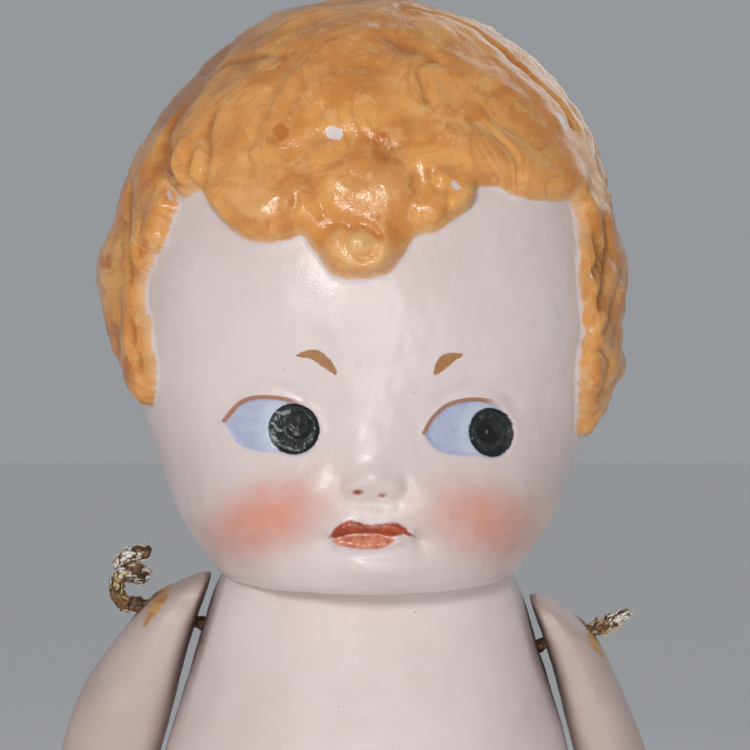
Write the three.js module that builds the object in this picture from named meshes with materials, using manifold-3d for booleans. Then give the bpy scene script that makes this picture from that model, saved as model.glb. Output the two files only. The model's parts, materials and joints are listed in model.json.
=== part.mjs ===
// A small all-bisque doll: one hollow porcelain casting for the head and torso, four solid porcelain limbs,
// and two iron wires that the limbs are strung on. Millimetres, +Z up, the doll faces -Y.
// The origin is on the floor, at the middle of the doll's outline seen from above.
import * as THREE from "three";
import { mergeVertices } from "three/addons/utils/BufferGeometryUtils.js";
import Module from "manifold-3d";

const wasm = await Module();
wasm.setup();

// ---- driving dimensions ----
const HEIGHT = 140; // floor to the crown of the hair
const HAIR = 1.4; // how far the moulded hair stands off the scalp
const HAIR_EDGE = 1.6; // height over which the hair rises from the skin
const WALL = 2.6; // thickness of the slip-cast shell
const SIDE_SLOPE = 0.298; // how much wider the torso gets per millimetre down, at the shoulders
const SIDE_AT_NECK = 11.95; // half-width of the torso at NECK_Z
const NECK_Z = 94;
const ARM_GAP = 0.4; // clearance between an arm's flat face and the torso
const WIRE_R = 0.55;
const BORE_R = 0.95; // holes that the wires run through
const HIP_Z = 47; // height of the hip wire
const HIP_HALF = 5.2; // half-width of the crotch block between the thighs
const HIP_GAP = 0.4; // clearance between a thigh and the crotch block
const THIGH_R = 7.0; // radius of the thigh's rounded top about the hip wire
const HIP_CUT_R = 7.8; // radius of the torso's recess over the thigh
const HIP_BACK_SWING = 35; // degrees that the recess leaves open behind
const SEAT_Z = 97; // where the chin tucks into the neck

// Each arm's hole height, and the angle that its bent elbow makes it hang at.
const LEFT_HOLE_Z = 90.3;
const RIGHT_HOLE_Z = 92.0;
const LEFT_HANG = 7.9;
const RIGHT_HANG = 7.1;

// ---- colours ----
const bisque = () => new THREE.MeshStandardMaterial({ color: 0xe3d2cf, roughness: 0.42, metalness: 0 });
const rust = () => new THREE.MeshStandardMaterial({ color: 0x7a4a2a, roughness: 0.7, metalness: 0.5 });

const radians = THREE.MathUtils.degToRad;
const SIDE_ANGLE = Math.atan(SIDE_SLOPE);

// ---- lofts ----

// Catmull-Rom through rows of numbers, with `steps` rows made for each pair.
function smoothRows(rows, steps) {
  const made = [];
  for (let i = 0; i < rows.length - 1; i++) {
    const a = rows[Math.max(i - 1, 0)];
    const b = rows[i];
    const c = rows[i + 1];
    const d = rows[Math.min(i + 2, rows.length - 1)];
    for (let k = 0; k < steps; k++) {
      const t = k / steps;
      made.push(b.map((_, j) => catmull(a[j], b[j], c[j], d[j], t)));
    }
  }
  made.push(rows[rows.length - 1]);
  return made;
}

function catmull(a, b, c, d, t) {
  const u = (c - a) / 2;
  const v = (d - b) / 2;
  return (2 * t ** 3 - 3 * t ** 2 + 1) * b + (t ** 3 - 2 * t ** 2 + t) * u
    + (3 * t ** 2 - 2 * t ** 3) * c + (t ** 3 - t ** 2) * v;
}

const signedPower = (x, p) => Math.sign(x) * Math.abs(x) ** p;

// A closed skin over rings of equal length, with a single point at each end.
function skin(rings, first, last) {
  const count = rings[0].length;
  const points = [first, ...rings.flat(), last];
  const at = (ring, k) => 1 + ring * count + (k % count);
  const index = [];
  for (let k = 0; k < count; k++) {
    index.push(0, at(0, k), at(0, k + 1));
    for (let r = 0; r < rings.length - 1; r++) {
      index.push(at(r, k), at(r + 1, k), at(r + 1, k + 1));
      index.push(at(r, k), at(r + 1, k + 1), at(r, k + 1));
    }
    index.push(at(rings.length - 1, k), points.length - 1, at(rings.length - 1, k + 1));
  }
  const geometry = new THREE.BufferGeometry().setFromPoints(points);
  geometry.setIndex(index);
  return geometry;
}

// ---- booleans ----

function solid(geometry) {
  const bare = new THREE.BufferGeometry();
  bare.setAttribute("position", geometry.getAttribute("position"));
  bare.setIndex(geometry.getIndex());
  const merged = mergeVertices(bare, 1e-4);
  const made = new wasm.Manifold(new wasm.Mesh({
    numProp: 3,
    vertProperties: new Float32Array(merged.attributes.position.array),
    triVerts: new Uint32Array(merged.index.array),
  }));
  return made;
}

function geometryOf(manifold) {
  const mesh = manifold.getMesh();
  const geometry = new THREE.BufferGeometry();
  geometry.setAttribute("position", new THREE.BufferAttribute(new Float32Array(mesh.vertProperties), 3));
  geometry.setIndex(new THREE.BufferAttribute(new Uint32Array(mesh.triVerts), 1));
  geometry.computeVertexNormals();
  return geometry;
}

// A round bar from one point to another, to cut a hole with.
function bar(from, to, radius, sides = 16) {
  const geometry = new THREE.CylinderGeometry(radius, radius, from.distanceTo(to), sides);
  const along = to.clone().sub(from).normalize();
  geometry.applyQuaternion(new THREE.Quaternion().setFromUnitVectors(new THREE.Vector3(0, 1, 0), along));
  const middle = from.clone().add(to).multiplyScalar(0.5);
  geometry.translate(middle.x, middle.y, middle.z);
  return solid(geometry);
}

function block(low, high) {
  const size = high.clone().sub(low);
  const geometry = new THREE.BoxGeometry(size.x, size.y, size.z);
  const middle = low.clone().add(high).multiplyScalar(0.5);
  geometry.translate(middle.x, middle.y, middle.z);
  return solid(geometry);
}

// ---- shoulders ----

// side is 1 for the doll's left, at +X, and -1 for its right.
// The wire leaves square to the torso's flat side.
function shoulder(side, holeZ) {
  const out = new THREE.Vector3(side * Math.cos(SIDE_ANGLE), 0, Math.sin(SIDE_ANGLE));
  const down = new THREE.Vector3(side * Math.sin(SIDE_ANGLE), 0, -Math.cos(SIDE_ANGLE));
  const x = side * (SIDE_AT_NECK + SIDE_SLOPE * (NECK_Z - holeZ));
  const centre = new THREE.Vector3(x, 0, holeZ);
  const at = (u, v, w) => centre.clone().addScaledVector(out, u).addScaledVector(down, v)
    .add(new THREE.Vector3(0, -w, 0));
  return { side, out, down, centre, at };
}

const leftShoulder = shoulder(1, LEFT_HOLE_Z);
const rightShoulder = shoulder(-1, RIGHT_HOLE_Z);

// ---- head and torso ----

// Rows down the scalp and skin: height at the sides, half-width, depth in front, depth behind,
// drop of the front, drop of the back, roundness (2 is an ellipse, more is squarer).
const SKIN_ROWS = [
  [138.1, 3.4, 3.6, 3.8, 0, 0, 2.0],
  [136.8, 7.6, 8.0, 8.4, 0, 0, 2.0],
  [134.6, 11.0, 11.6, 12.2, 0, 0, 2.05],
  [131.6, 13.9, 14.6, 15.4, 0, 0, 2.1],
  [128.0, 16.0, 16.8, 17.8, 0, 0, 2.15],
  [124.0, 17.3, 18.1, 19.2, 0, 0, 2.2],
  [119.5, 18.0, 18.7, 19.8, 0, 0, 2.25],
  [115.0, 18.1, 18.8, 19.7, 0, 0, 2.3],
  [111.0, 17.7, 18.6, 18.9, 0, 0, 2.3],
  [107.5, 16.8, 18.2, 17.3, 0, 0, 2.3],
  [104.0, 15.6, 17.9, 15.2, 0, 0, 2.25],
  [101.0, 14.5, 17.8, 13.0, 0, 0, 2.2],
  [98.8, 13.1, 17.3, 11.4, -0.2, 0, 2.15],
  [97.3, 12.0, 16.6, 10.7, -0.7, 0, 2.1],
  [96.3, 11.6, 15.4, 10.3, -0.9, 0, 2.1],
  [95.7, 11.5, 13.2, 10.2, -0.6, 0, 2.2],
  [95.2, 11.6, 11.0, 10.1, -0.1, 0, 2.3],
  [94.0, 11.95, 10.5, 10.1, 0, 0, 2.4],
  [90.5, 12.99, 10.9, 10.4, 0, 0, 2.45],
  [86.5, 14.18, 11.8, 10.9, 0, 0, 2.45],
  [82.0, 15.45, 12.9, 11.1, 0, 0, 2.4],
  [77.5, 16.6, 14.0, 11.0, 0, 0, 2.35],
  [73.0, 17.5, 14.9, 10.9, 0, 0, 2.3],
  [68.5, 18.1, 15.5, 11.2, 0, 0, 2.3],
  [64.0, 18.2, 15.6, 12.2, 0, 0, 2.3],
  [59.5, 17.8, 15.0, 13.3, 0, 0, 2.3],
  [55.5, 16.8, 13.6, 13.6, 0, 0, 2.3],
  [51.0, 14.6, 11.6, 12.6, 0, 0, 2.3],
  [46.5, 11.4, 9.4, 10.6, 0, 0, 2.2],
  [42.5, 7.8, 7.0, 7.8, 0, 0, 2.1],
  [40.0, 4.2, 4.2, 4.6, 0, 0, 2.0],
];
const HEAD_ROWS = 15; // rows down to the chin, which are drawn twice as fine
const CROTCH_POLE = new THREE.Vector3(0, 0.2, 39.3);

// Rows of the hollow, in the same order. It narrows between the thighs.
const HOLLOW_ROWS = [
  [134.6, 6.0, 6.2, 6.6, 0, 0, 2.0],
  [131.0, 10.4, 11.0, 11.6, 0, 0, 2.1],
  [124.0, 14.2, 15.0, 16.0, 0, 0, 2.2],
  [115.0, 15.2, 15.8, 16.6, 0, 0, 2.2],
  [107.5, 13.8, 15.0, 14.0, 0, 0, 2.2],
  [101.5, 11.0, 13.2, 9.8, 0, 0, 2.2],
  [97.5, 8.9, 9.0, 7.6, 0, 0, 2.2],
  [93.0, 9.3, 7.9, 7.4, 0, 0, 2.2],
  [86.5, 11.4, 9.0, 8.2, 0, 0, 2.2],
  [77.5, 13.8, 11.2, 8.3, 0, 0, 2.2],
  [68.5, 15.3, 12.7, 8.5, 0, 0, 2.2],
  [62.0, 14.8, 12.4, 9.4, 0, 0, 2.2],
  [58.6, 12.6, 10.6, 9.0, 0, 0, 2.2],
  [56.6, 3.2, 8.0, 7.6, 0, 0, 2.2],
  [50.0, 2.9, 6.4, 6.8, 0, 0, 2.1],
  [44.5, 2.4, 4.2, 4.6, 0, 0, 2.0],
];
const HOLLOW_TOP = new THREE.Vector3(0, 0.1, 135.9);
const HOLLOW_FOOT = new THREE.Vector3(0, 0.2, 43.2);

// Lower edge of the hair by the bearing round the head: 0 is straight ahead, 180 is the nape.
const HAIRLINE = [
  [0, 118.2], [8, 119.4], [14, 121.6], [24, 125.0], [38, 126.0], [52, 125.2], [57, 121.0],
  [61, 112.0], [68, 107.6], [85, 106.0], [110, 103.5], [140, 100.8], [180, 99.6],
];

function hairlineAt(bearing) {
  for (let i = 1; i < HAIRLINE.length; i++) {
    const [a, za] = HAIRLINE[i - 1];
    const [b, zb] = HAIRLINE[i];
    if (bearing <= b) {
      return THREE.MathUtils.lerp(za, zb, (bearing - a) / (b - a));
    }
  }
  return HAIRLINE[HAIRLINE.length - 1][1];
}

// Lifts a point of the scalp by the hair's thickness, and the nose by its own height.
const HEAD_CENTRE = new THREE.Vector3(0, 0, 117);
const SIDE_CURLS = { z: 117.5, spread: 6.5, lift: 0.9, from: 70, to: 125 };
const NOSE = { z: 103.7, lift: 2.0, half: 2.0, tall: 2.0 };
const FORELOCK = { z: 121.4, lift: 1.3, half: 3.2, tall: 3.4 };

function standsOut(point, { z, lift, half, tall }) {
  return lift * Math.exp(-((point.x / half) ** 2) - (((point.z - z) / tall) ** 2));
}

function withFeatures(point) {
  if (point.z < SEAT_Z) {
    return point;
  }
  const bearing = THREE.MathUtils.radToDeg(Math.atan2(Math.abs(point.x), -point.y));
  const cover = THREE.MathUtils.smoothstep(point.z - hairlineAt(bearing), 0, HAIR_EDGE);
  const curls = Math.exp(-(((point.z - SIDE_CURLS.z) / SIDE_CURLS.spread) ** 2))
    * THREE.MathUtils.smoothstep(bearing, SIDE_CURLS.from - 15, SIDE_CURLS.from)
    * (1 - THREE.MathUtils.smoothstep(bearing, SIDE_CURLS.to - 15, SIDE_CURLS.to));
  const outward = point.clone().sub(HEAD_CENTRE).normalize();
  const lifted = point.clone().addScaledVector(outward, cover * (HAIR + SIDE_CURLS.lift * curls));
  if (point.y < 0) {
    lifted.y -= standsOut(point, NOSE) + standsOut(point, FORELOCK);
  }
  return lifted;
}

// A ring's points stand closer together in front, by `bunch`, where the face needs them.
function ringOf([z, half, front, back, frontDrop, backDrop, roundness], segments, bunch = 0) {
  const ring = [];
  for (let k = 0; k < segments; k++) {
    const turn = (k / segments) * 2 * Math.PI;
    const angle = turn - bunch * Math.cos(turn);
    const c = signedPower(Math.cos(angle), 2 / roundness);
    const s = signedPower(Math.sin(angle), 2 / roundness);
    const drop = s < 0 ? frontDrop * s * s : backDrop * s * s;
    ring.push(new THREE.Vector3(half * c, (s < 0 ? front : back) * s, z + drop));
  }
  return ring;
}

// Everything that a thigh sweeps, from upright at rest to straight ahead, and back by HIP_BACK_SWING.
function hipRecess(side) {
  const outer = 30;
  const long = 60;
  const [low, high] = [side * HIP_HALF, side * outer].sort((a, b) => a - b);
  const atLow = (y, z) => new THREE.Vector3(low, y, z);
  const atHigh = (y, z) => new THREE.Vector3(high, y, z);
  const round = bar(atLow(0, HIP_Z), atHigh(0, HIP_Z), HIP_CUT_R, 40);
  const ahead = block(atLow(-long, HIP_Z - long), atHigh(0, HIP_Z + HIP_CUT_R));
  const under = block(atLow(-HIP_CUT_R, HIP_Z - long), atHigh(HIP_CUT_R, HIP_Z));
  const geometry = new THREE.BoxGeometry(high - low, 2 * HIP_CUT_R, long);
  geometry.translate((low + high) / 2, 0, -long / 2);
  geometry.rotateX(radians(HIP_BACK_SWING));
  geometry.translate(0, 0, HIP_Z);
  return round.add(ahead).add(under).add(solid(geometry));
}

function makeHeadAndTorso() {
  const outerSegments = 38;
  const frontBunch = 0.45;
  const headRows = smoothRows(SKIN_ROWS.slice(0, HEAD_ROWS + 1), 2);
  const outerRings = headRows.concat(SKIN_ROWS.slice(HEAD_ROWS + 1))
    .map((row) => ringOf(row, outerSegments, frontBunch).map(withFeatures));
  const crown = new THREE.Vector3(0, 0.1, HEIGHT);
  let body = solid(skin(outerRings, crown, CROTCH_POLE));
  const innerSegments = 20;
  const innerRings = HOLLOW_ROWS.map((row) => ringOf(row, innerSegments));
  body = body.subtract(solid(skin(innerRings, HOLLOW_TOP, HOLLOW_FOOT)));
  body = body.subtract(hipRecess(1)).subtract(hipRecess(-1));
  for (const s of [leftShoulder, rightShoulder]) {
    body = body.subtract(bar(s.at(-WALL * 2.6, 0, 0), s.at(2, 0, 0), BORE_R));
  }
  const reach = HIP_HALF + 2;
  body = body.subtract(bar(new THREE.Vector3(-reach, 0, HIP_Z), new THREE.Vector3(reach, 0, HIP_Z), BORE_R));
  return body;
}

// ---- arms ----

// Rows down an arm, in the shoulder's own frame: distance down, how far forward the middle is,
// how far the inner face stands off ARM_GAP, thickness, half-depth.
const LEFT_ARM_ROWS = [
  [-3.65, 0, 0.1, 0.5, 1.0],
  [-2.8, 0, 0.05, 1.8, 2.6],
  [-1.5, 0, 0.1, 2.9, 3.4],
  [0.3, 0, 0.2, 3.75, 3.85],
  [3.0, 0, 0.2, 4.3, 4.05],
  [7.0, 0, 0.05, 5.0, 4.15],
  [11.0, 0, 0, 5.3, 4.15],
  [14.5, 0.4, 0, 5.3, 4.0],
  [18.0, 1.8, 0.1, 5.0, 3.6],
  [21.5, 3.8, 0.3, 4.4, 3.1],
  [24.2, 5.5, 0.6, 3.6, 2.6],
  [26.6, 7.1, 0.6, 3.6, 3.1],
  [29.2, 8.8, 0.6, 3.2, 3.4],
  [31.4, 10.2, 0.7, 2.5, 2.8],
];
const LEFT_FINGERTIP = [33.0, 11.2, 1.6];

// The right arm is the fuller casting.
const RIGHT_ARM_THICKNESS = [0.45, 1.8, 3.2, 4.35, 5.5, 6.9, 7.4, 7.1, 6.2, 5.1, 3.9, 3.7, 3.2, 2.5];
const RIGHT_ARM_ROWS = LEFT_ARM_ROWS.map(([v, w, u, , depth], i) => [v, w, u, RIGHT_ARM_THICKNESS[i], depth]);

function makeArm(s, rows, hang) {
  const segments = 16;
  const fine = smoothRows(rows, 2);
  const turn = radians(hang);
  // Turns a point of the straight arm back about the wire, to where its own weight holds it.
  const place = (u, v, w) => s.at(
    ARM_GAP + u,
    v * Math.cos(turn) + w * Math.sin(turn),
    w * Math.cos(turn) - v * Math.sin(turn),
  );
  const rings = fine.map(([v, w, u0, thick, depth], i) => {
    const before = fine[Math.max(i - 1, 0)];
    const after = fine[Math.min(i + 1, fine.length - 1)];
    const slope = Math.atan2(after[1] - before[1], after[0] - before[0]);
    const ring = [];
    for (let k = 0; k < segments; k++) {
      const angle = (k / segments) * 2 * Math.PI * -s.side;
      const c = Math.cos(angle);
      const d = Math.sin(angle);
      const flat = c < 0 ? 3.2 : 2.1; // the inner face is nearly flat
      const u = u0 + thick / 2 + (thick / 2) * signedPower(c, 2 / flat);
      const across = depth * signedPower(d, 2 / 2.3);
      ring.push(place(u, v - across * Math.sin(slope), w + across * Math.cos(slope)));
    }
    return ring;
  });
  const top = place(0.3, -3.85, 0);
  const [tipV, tipW, tipU] = LEFT_FINGERTIP;
  let arm = solid(skin(rings, top, place(tipU, tipV, tipW)));
  arm = arm.subtract(bar(s.at(-1, 0, 0), s.at(12, 0, 0), BORE_R));
  return arm;
}

// ---- legs ----

// Rows down a leg: height, middle across, middle forward of the wire, half-width, half-depth.
const LEG_ROWS = [
  [53.6, 10.6, 0.0, 2.6, 2.6],
  [52.4, 10.7, 0.0, 3.9, 4.3],
  [50.4, 10.9, 0.0, 4.9, 5.9],
  [47.5, 11.0, 0.0, 5.4, 6.8],
  [43.0, 11.0, 0.0, 5.4, 6.9],
  [38.0, 10.7, 0.1, 5.3, 6.8],
  [33.0, 10.1, 0.2, 5.2, 6.4],
  [28.5, 9.4, 0.3, 4.9, 5.7],
  [25.5, 8.9, 0.3, 4.75, 5.4],
  [21.5, 8.5, 0.0, 4.8, 5.5],
  [16.5, 8.1, -0.3, 4.8, 5.5],
  [11.5, 7.8, -0.4, 4.4, 4.9],
  [8.2, 7.6, -0.1, 4.1, 4.6],
  [6.0, 7.5, 0.7, 4.2, 5.3],
  [4.4, 7.5, 1.6, 4.4, 6.5],
  [2.8, 7.5, 2.2, 4.6, 7.6],
  [1.2, 7.5, 2.4, 4.7, 8.0],
  [0.3, 7.5, 2.4, 4.55, 7.8],
  [0.0, 7.5, 2.4, 4.2, 7.4],
];
const FLAT_THIGH_Z = 35; // above this the thigh's inner face is flat against the crotch block
const LEG_GAP = 1.0; // clearance between the lower legs

function makeLeg(side) {
  const segments = 20;
  const rings = LEG_ROWS.map(([z, x, forward, half, depth]) => {
    const ring = [];
    for (let k = 0; k < segments; k++) {
      const angle = (k / segments) * 2 * Math.PI * side;
      const c = signedPower(Math.cos(angle), 2 / 2.4);
      const s = signedPower(Math.sin(angle), 2 / 2.2);
      const inside = z > FLAT_THIGH_Z ? HIP_HALF + HIP_GAP : LEG_GAP / 2;
      ring.push(new THREE.Vector3(side * Math.max(x + half * c, inside), depth * s - forward, z));
    }
    return ring;
  });
  const top = new THREE.Vector3(side * 10.5, 0, HIP_Z + THIGH_R);
  const sole = new THREE.Vector3(side * 7.5, -2.4, 0);
  let leg = solid(skin(rings, top, sole));
  const boreFrom = new THREE.Vector3(side * 4, 0, HIP_Z);
  const boreTo = new THREE.Vector3(side * 20, 0, HIP_Z);
  leg = leg.subtract(bar(boreFrom, boreTo, BORE_R));
  return leg;
}

// ---- wires ----

function wire(points, steps) {
  const path = new THREE.CatmullRomCurve3(points, false, "centripetal");
  const section = new THREE.Shape();
  section.absarc(0, 0, WIRE_R, 0, 2 * Math.PI, false);
  const geometry = new THREE.ExtrudeGeometry(section, {
    steps,
    curveSegments: 3,
    bevelEnabled: false,
    extrudePath: path,
  });
  geometry.deleteAttribute("normal");
  geometry.deleteAttribute("uv");
  return mergeVertices(geometry, 1e-4);
}

// The pigtail that keeps the right arm on, climbing from the hole past the top of the arm.
const CURL = { radius: 1.0, pitch: 1.5, turns: 1.45, out: 5.9, up: 2.9, back: 0.7 };

function makeShoulderWire() {
  const points = [];
  const s = rightShoulder;
  const middle = s.at(CURL.out, -CURL.up, -CURL.back);
  const stepsPerTurn = 10;
  const count = Math.round(CURL.turns * stepsPerTurn);
  for (let k = count; k >= 0; k--) {
    const angle = Math.PI * 0.5 + (k / stepsPerTurn) * 2 * Math.PI;
    points.push(new THREE.Vector3(
      middle.x - CURL.radius * Math.sin(angle),
      middle.y + CURL.radius * Math.cos(angle),
      middle.z - 0.6 + (k / stepsPerTurn) * CURL.pitch,
    ));
  }
  points.push(s.at(6.3, -0.7, 0.1));
  for (const out of [5.1, 3.4, 1.2, -1.2, -3.4]) {
    points.push(s.at(out, 0, 0));
  }
  points.push(new THREE.Vector3(0, 0, 87.2)); // it sags between its two holes
  for (const out of [-3.4, -1.2, 1.2, 3.4, 5.0]) {
    points.push(leftShoulder.at(out, 0, 0));
  }
  points.push(leftShoulder.at(7.5, -0.25, 0)); // the broken stub
  return wire(points, 72);
}

// The hip wire is straight, with each end turned down into a small eye against the thigh.
const EYE = { radius: 1.15, turn: 300, lead: 17.35 };

function makeHipWire() {
  const points = [];
  const eye = (side) => {
    const made = [];
    const count = 9;
    for (let k = 0; k <= count; k++) {
      const angle = radians((k / count) * EYE.turn);
      made.push(new THREE.Vector3(
        side * (EYE.lead + 0.3 * (k / count)),
        EYE.radius * Math.sin(angle) + 0.6,
        HIP_Z - EYE.radius * (1 - Math.cos(angle)) - 0.9,
      ));
    }
    return made;
  };
  points.push(...eye(-1).reverse());
  for (const x of [-16.9, -15.5, -12, -8, -4, 0, 4, 8, 12, 15.5, 16.9]) {
    points.push(new THREE.Vector3(x, 0, HIP_Z));
  }
  points.push(...eye(1));
  return wire(points, 60);
}

// ---- assembly ----

function named(name, geometry, material) {
  const mesh = new THREE.Mesh(geometry, material);
  mesh.name = name;
  return mesh;
}

const doll = new THREE.Group();
doll.add(named("head_and_torso", geometryOf(makeHeadAndTorso()), bisque()));
doll.add(named("left_arm", geometryOf(makeArm(leftShoulder, LEFT_ARM_ROWS, LEFT_HANG)), bisque()));
doll.add(named("right_arm", geometryOf(makeArm(rightShoulder, RIGHT_ARM_ROWS, RIGHT_HANG)), bisque()));
doll.add(named("left_leg", geometryOf(makeLeg(1)), bisque()));
doll.add(named("right_leg", geometryOf(makeLeg(-1)), bisque()));
doll.add(named("shoulder_wire", makeShoulderWire(), rust()));
doll.add(named("hip_wire", makeHipWire(), rust()));

export default doll;
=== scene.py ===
import json
import math

import bpy
import numpy as np
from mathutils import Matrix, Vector


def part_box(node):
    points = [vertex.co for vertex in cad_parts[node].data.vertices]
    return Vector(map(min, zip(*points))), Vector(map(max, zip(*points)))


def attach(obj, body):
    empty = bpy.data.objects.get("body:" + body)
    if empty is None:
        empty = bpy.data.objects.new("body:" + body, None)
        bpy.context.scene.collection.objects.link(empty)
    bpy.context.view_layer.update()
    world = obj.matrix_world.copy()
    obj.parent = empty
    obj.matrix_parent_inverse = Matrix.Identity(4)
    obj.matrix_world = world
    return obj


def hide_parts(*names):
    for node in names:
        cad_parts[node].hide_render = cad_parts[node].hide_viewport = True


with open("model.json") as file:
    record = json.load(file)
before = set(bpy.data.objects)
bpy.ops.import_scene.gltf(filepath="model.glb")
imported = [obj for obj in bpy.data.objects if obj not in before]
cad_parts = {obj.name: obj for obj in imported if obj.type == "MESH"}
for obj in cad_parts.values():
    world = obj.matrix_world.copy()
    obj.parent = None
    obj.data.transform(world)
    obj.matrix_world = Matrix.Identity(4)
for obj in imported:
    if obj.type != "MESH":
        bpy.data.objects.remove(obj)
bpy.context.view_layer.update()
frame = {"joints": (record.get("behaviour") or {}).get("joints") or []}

# Lengths are in millimetres here and turned into Blender's metres when a mesh is made.
MM = 0.001
TURN = 2 * math.pi
NOWHERE = -9.0  # a paint distance for places that the paint never reaches

# ---------------------------------------------------------------- the frame

JOINTS = {joint["name"]: joint for joint in frame["joints"]}


def joint_point(joint):
    return np.array(JOINTS[joint]["pos_m"]) / MM


def side_way(joint):
    """The joint's axis as a unit way that points out of the doll's side."""
    axis = np.array(JOINTS[joint]["axis"], float)
    axis /= np.linalg.norm(axis)
    return axis * np.sign(axis[0] * joint_point(joint)[0])


HIP_Z = joint_point("left_hip")[2]


# ---------------------------------------------------------------- numbers and curves

def smoothstep(value, low, high):
    t = np.clip((value - low) / (high - low), 0, 1)
    return t * t * (3 - 2 * t)


def bell(value, width):
    """1 at zero, falling smoothly to almost nothing at twice the width."""
    return np.exp(-((value / width) ** 2))


def signed_power(value, power):
    return np.sign(value) * np.abs(value) ** power


def spline(rows, steps):
    """Catmull-Rom through rows of numbers, with `steps` rows for each pair."""
    rows = np.asarray(rows, float)
    padded = np.vstack([2 * rows[0] - rows[1], rows, 2 * rows[-1] - rows[-2]])
    t = (np.arange(steps) / steps)[:, None]
    made = []
    for a, b, c, d in zip(padded, padded[1:], padded[2:], padded[3:]):
        u, v = (c - a) / 2, (d - b) / 2
        made.append(
            (2 * t**3 - 3 * t**2 + 1) * b + (t**3 - 2 * t**2 + t) * u
            + (3 * t**2 - 2 * t**3) * c + (t**3 - t**2) * v
        )
    return np.vstack([*made, rows[-1:]])


def columns(rows):
    """The columns of a table of rings, each ready to be spread round the rings."""
    return [column[:, None] for column in rows.T]


def ripple(points, size, seed, waves=9):
    """Smooth seeded noise, about -1 to 1, whose features are about `size` across."""
    rng = np.random.default_rng(seed)
    total = np.zeros(len(points))
    for _ in range(waves):
        way = rng.normal(size=3)
        way *= rng.uniform(0.6, 1.6) * TURN / size / np.linalg.norm(way)
        total += np.sin(points @ way + rng.uniform(0, TURN))
    return total / math.sqrt(waves)


def distance_to_line(points, line):
    """Distance from each point to a polyline, in any number of dimensions."""
    best = np.full(len(points), np.inf)
    for a, b in zip(line[:-1], line[1:]):
        along = b - a
        t = np.clip((points - a) @ along / max(along @ along, 1e-12), 0, 1)
        best = np.minimum(best, ((points - a - t[:, None] * along) ** 2).sum(1))
    return np.sqrt(best)


def inside_polygon(points, polygon):
    """True for each 2-D point inside a closed polygon."""
    x, y = points.T
    inside = np.zeros(len(points), bool)
    for (ax, ay), (bx, by) in zip(polygon, np.roll(polygon, -1, axis=0)):
        crosses = (ay > y) != (by > y)
        slope = (bx - ax) / (by - ay) if by != ay else 0.0
        inside ^= crosses & (x < ax + (y - ay) * slope)
    return inside


# Paint and relief are drawn in the front view, in (across, height), which the functions below call flat.

def signed_distance(flat, outline, edge):
    """Millimetres from `edge`, positive inside the closed outline and negative outside."""
    return np.where(inside_polygon(flat, outline), 1, -1) * distance_to_line(flat, edge)


def area_distance(flat, outline):
    closed = spline([*outline, outline[0]], 5)
    return signed_distance(flat, closed, closed)


def disc_distance(flat, middle_x, middle_z, radius_x, radius_z):
    x, z = flat.T
    share = np.hypot((x - middle_x) / radius_x, (z - middle_z) / radius_z)
    return (1 - share) * min(radius_x, radius_z)


def drawn_distance(flat, line):
    return distance_to_line(flat, spline(line, 6))


def widest(flat, strokes):
    """Millimetres inside the nearest of the strokes, each a line with its half-width."""
    return np.max([half - drawn_distance(flat, line) for line, half in strokes], axis=0)


def lines_at(flat, lines):
    """Relief of modelled lines, each with a width and how far it stands out."""
    return sum(height * bell(drawn_distance(flat, line), width) for line, width, height in lines)


def mounds_at(flat, shapes):
    """Relief of soft mounds: across, height, reach across, reach up, how far they stand out."""
    x, z = flat.T
    return sum(height * bell(x - cx, rx) * bell(z - cz, rz) for cx, cz, rx, rz, height in shapes)


def knobs_at(flat, shapes):
    """Relief of round knobs with a crisp foot, given like mounds."""
    x, z = flat.T
    return sum(
        height * np.clip(1 - ((x - cx) / rx) ** 2 - ((z - cz) / rz) ** 2, 0, 1) ** 0.7
        for cx, cz, rx, rz, height in shapes
    )


# ---------------------------------------------------------------- meshes

BOX_CORNERS = [(x, y, z) for z in (-1.0, 1.0) for y in (-1.0, 1.0) for x in (-1.0, 1.0)]
BOX_FACES = [(0, 2, 3, 1), (4, 5, 7, 6), (0, 1, 5, 4), (2, 6, 7, 3), (0, 4, 6, 2), (1, 3, 7, 5)]


def tube_faces(rings, around):
    """Quads between rings of `around` points, and triangles to the two poles numbered after them."""
    r, k = np.meshgrid(np.arange(rings - 1), np.arange(around), indexing="ij")
    n = (k + 1) % around
    quads = np.stack([r * around + k, (r + 1) * around + k, (r + 1) * around + n, r * around + n], -1)
    first = np.full(around, rings * around)
    last_ring = first - around
    top = np.stack([first, k[0], n[0]], -1)
    bottom = np.stack([last_ring + k[0], first + 1, last_ring + n[0]], -1)
    return quads.reshape(-1, 4).tolist() + top.tolist() + bottom.tolist()


def flipped(faces):
    return [face[::-1] for face in faces]


def with_ends(points, around):
    """The points of a grid and the middles of its first and last rings, which close it."""
    return np.vstack([points, points[:around].mean(0), points[-around:].mean(0)])


def surface_of(grid, centres):
    """A grid's points and its unit normals, which point away from `centres`. Its columns run round it."""
    across = np.roll(grid, -1, axis=1) - np.roll(grid, 1, axis=1)
    normals = np.cross(np.gradient(grid, axis=0), across)
    normals /= np.maximum(np.linalg.norm(normals, axis=-1, keepdims=True), 1e-9)
    outward = (grid - centres).reshape(-1, 3)
    normals = normals.reshape(-1, 3)
    return grid.reshape(-1, 3), normals * np.sign((normals * outward).sum(1))[:, None]


def store(piece, key, numbers):
    """Keeps a number or a place for each point of a mesh, under a name that materials read."""
    numbers = np.asarray(numbers, np.float32)
    kind, field = ("FLOAT_VECTOR", "vector") if numbers.ndim == 2 else ("FLOAT", "value")
    if kind == "FLOAT":
        numbers = np.broadcast_to(numbers, len(piece.data.vertices))
    piece.data.attributes.new(key, kind, "POINT").data.foreach_set(field, numbers.ravel())


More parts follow.
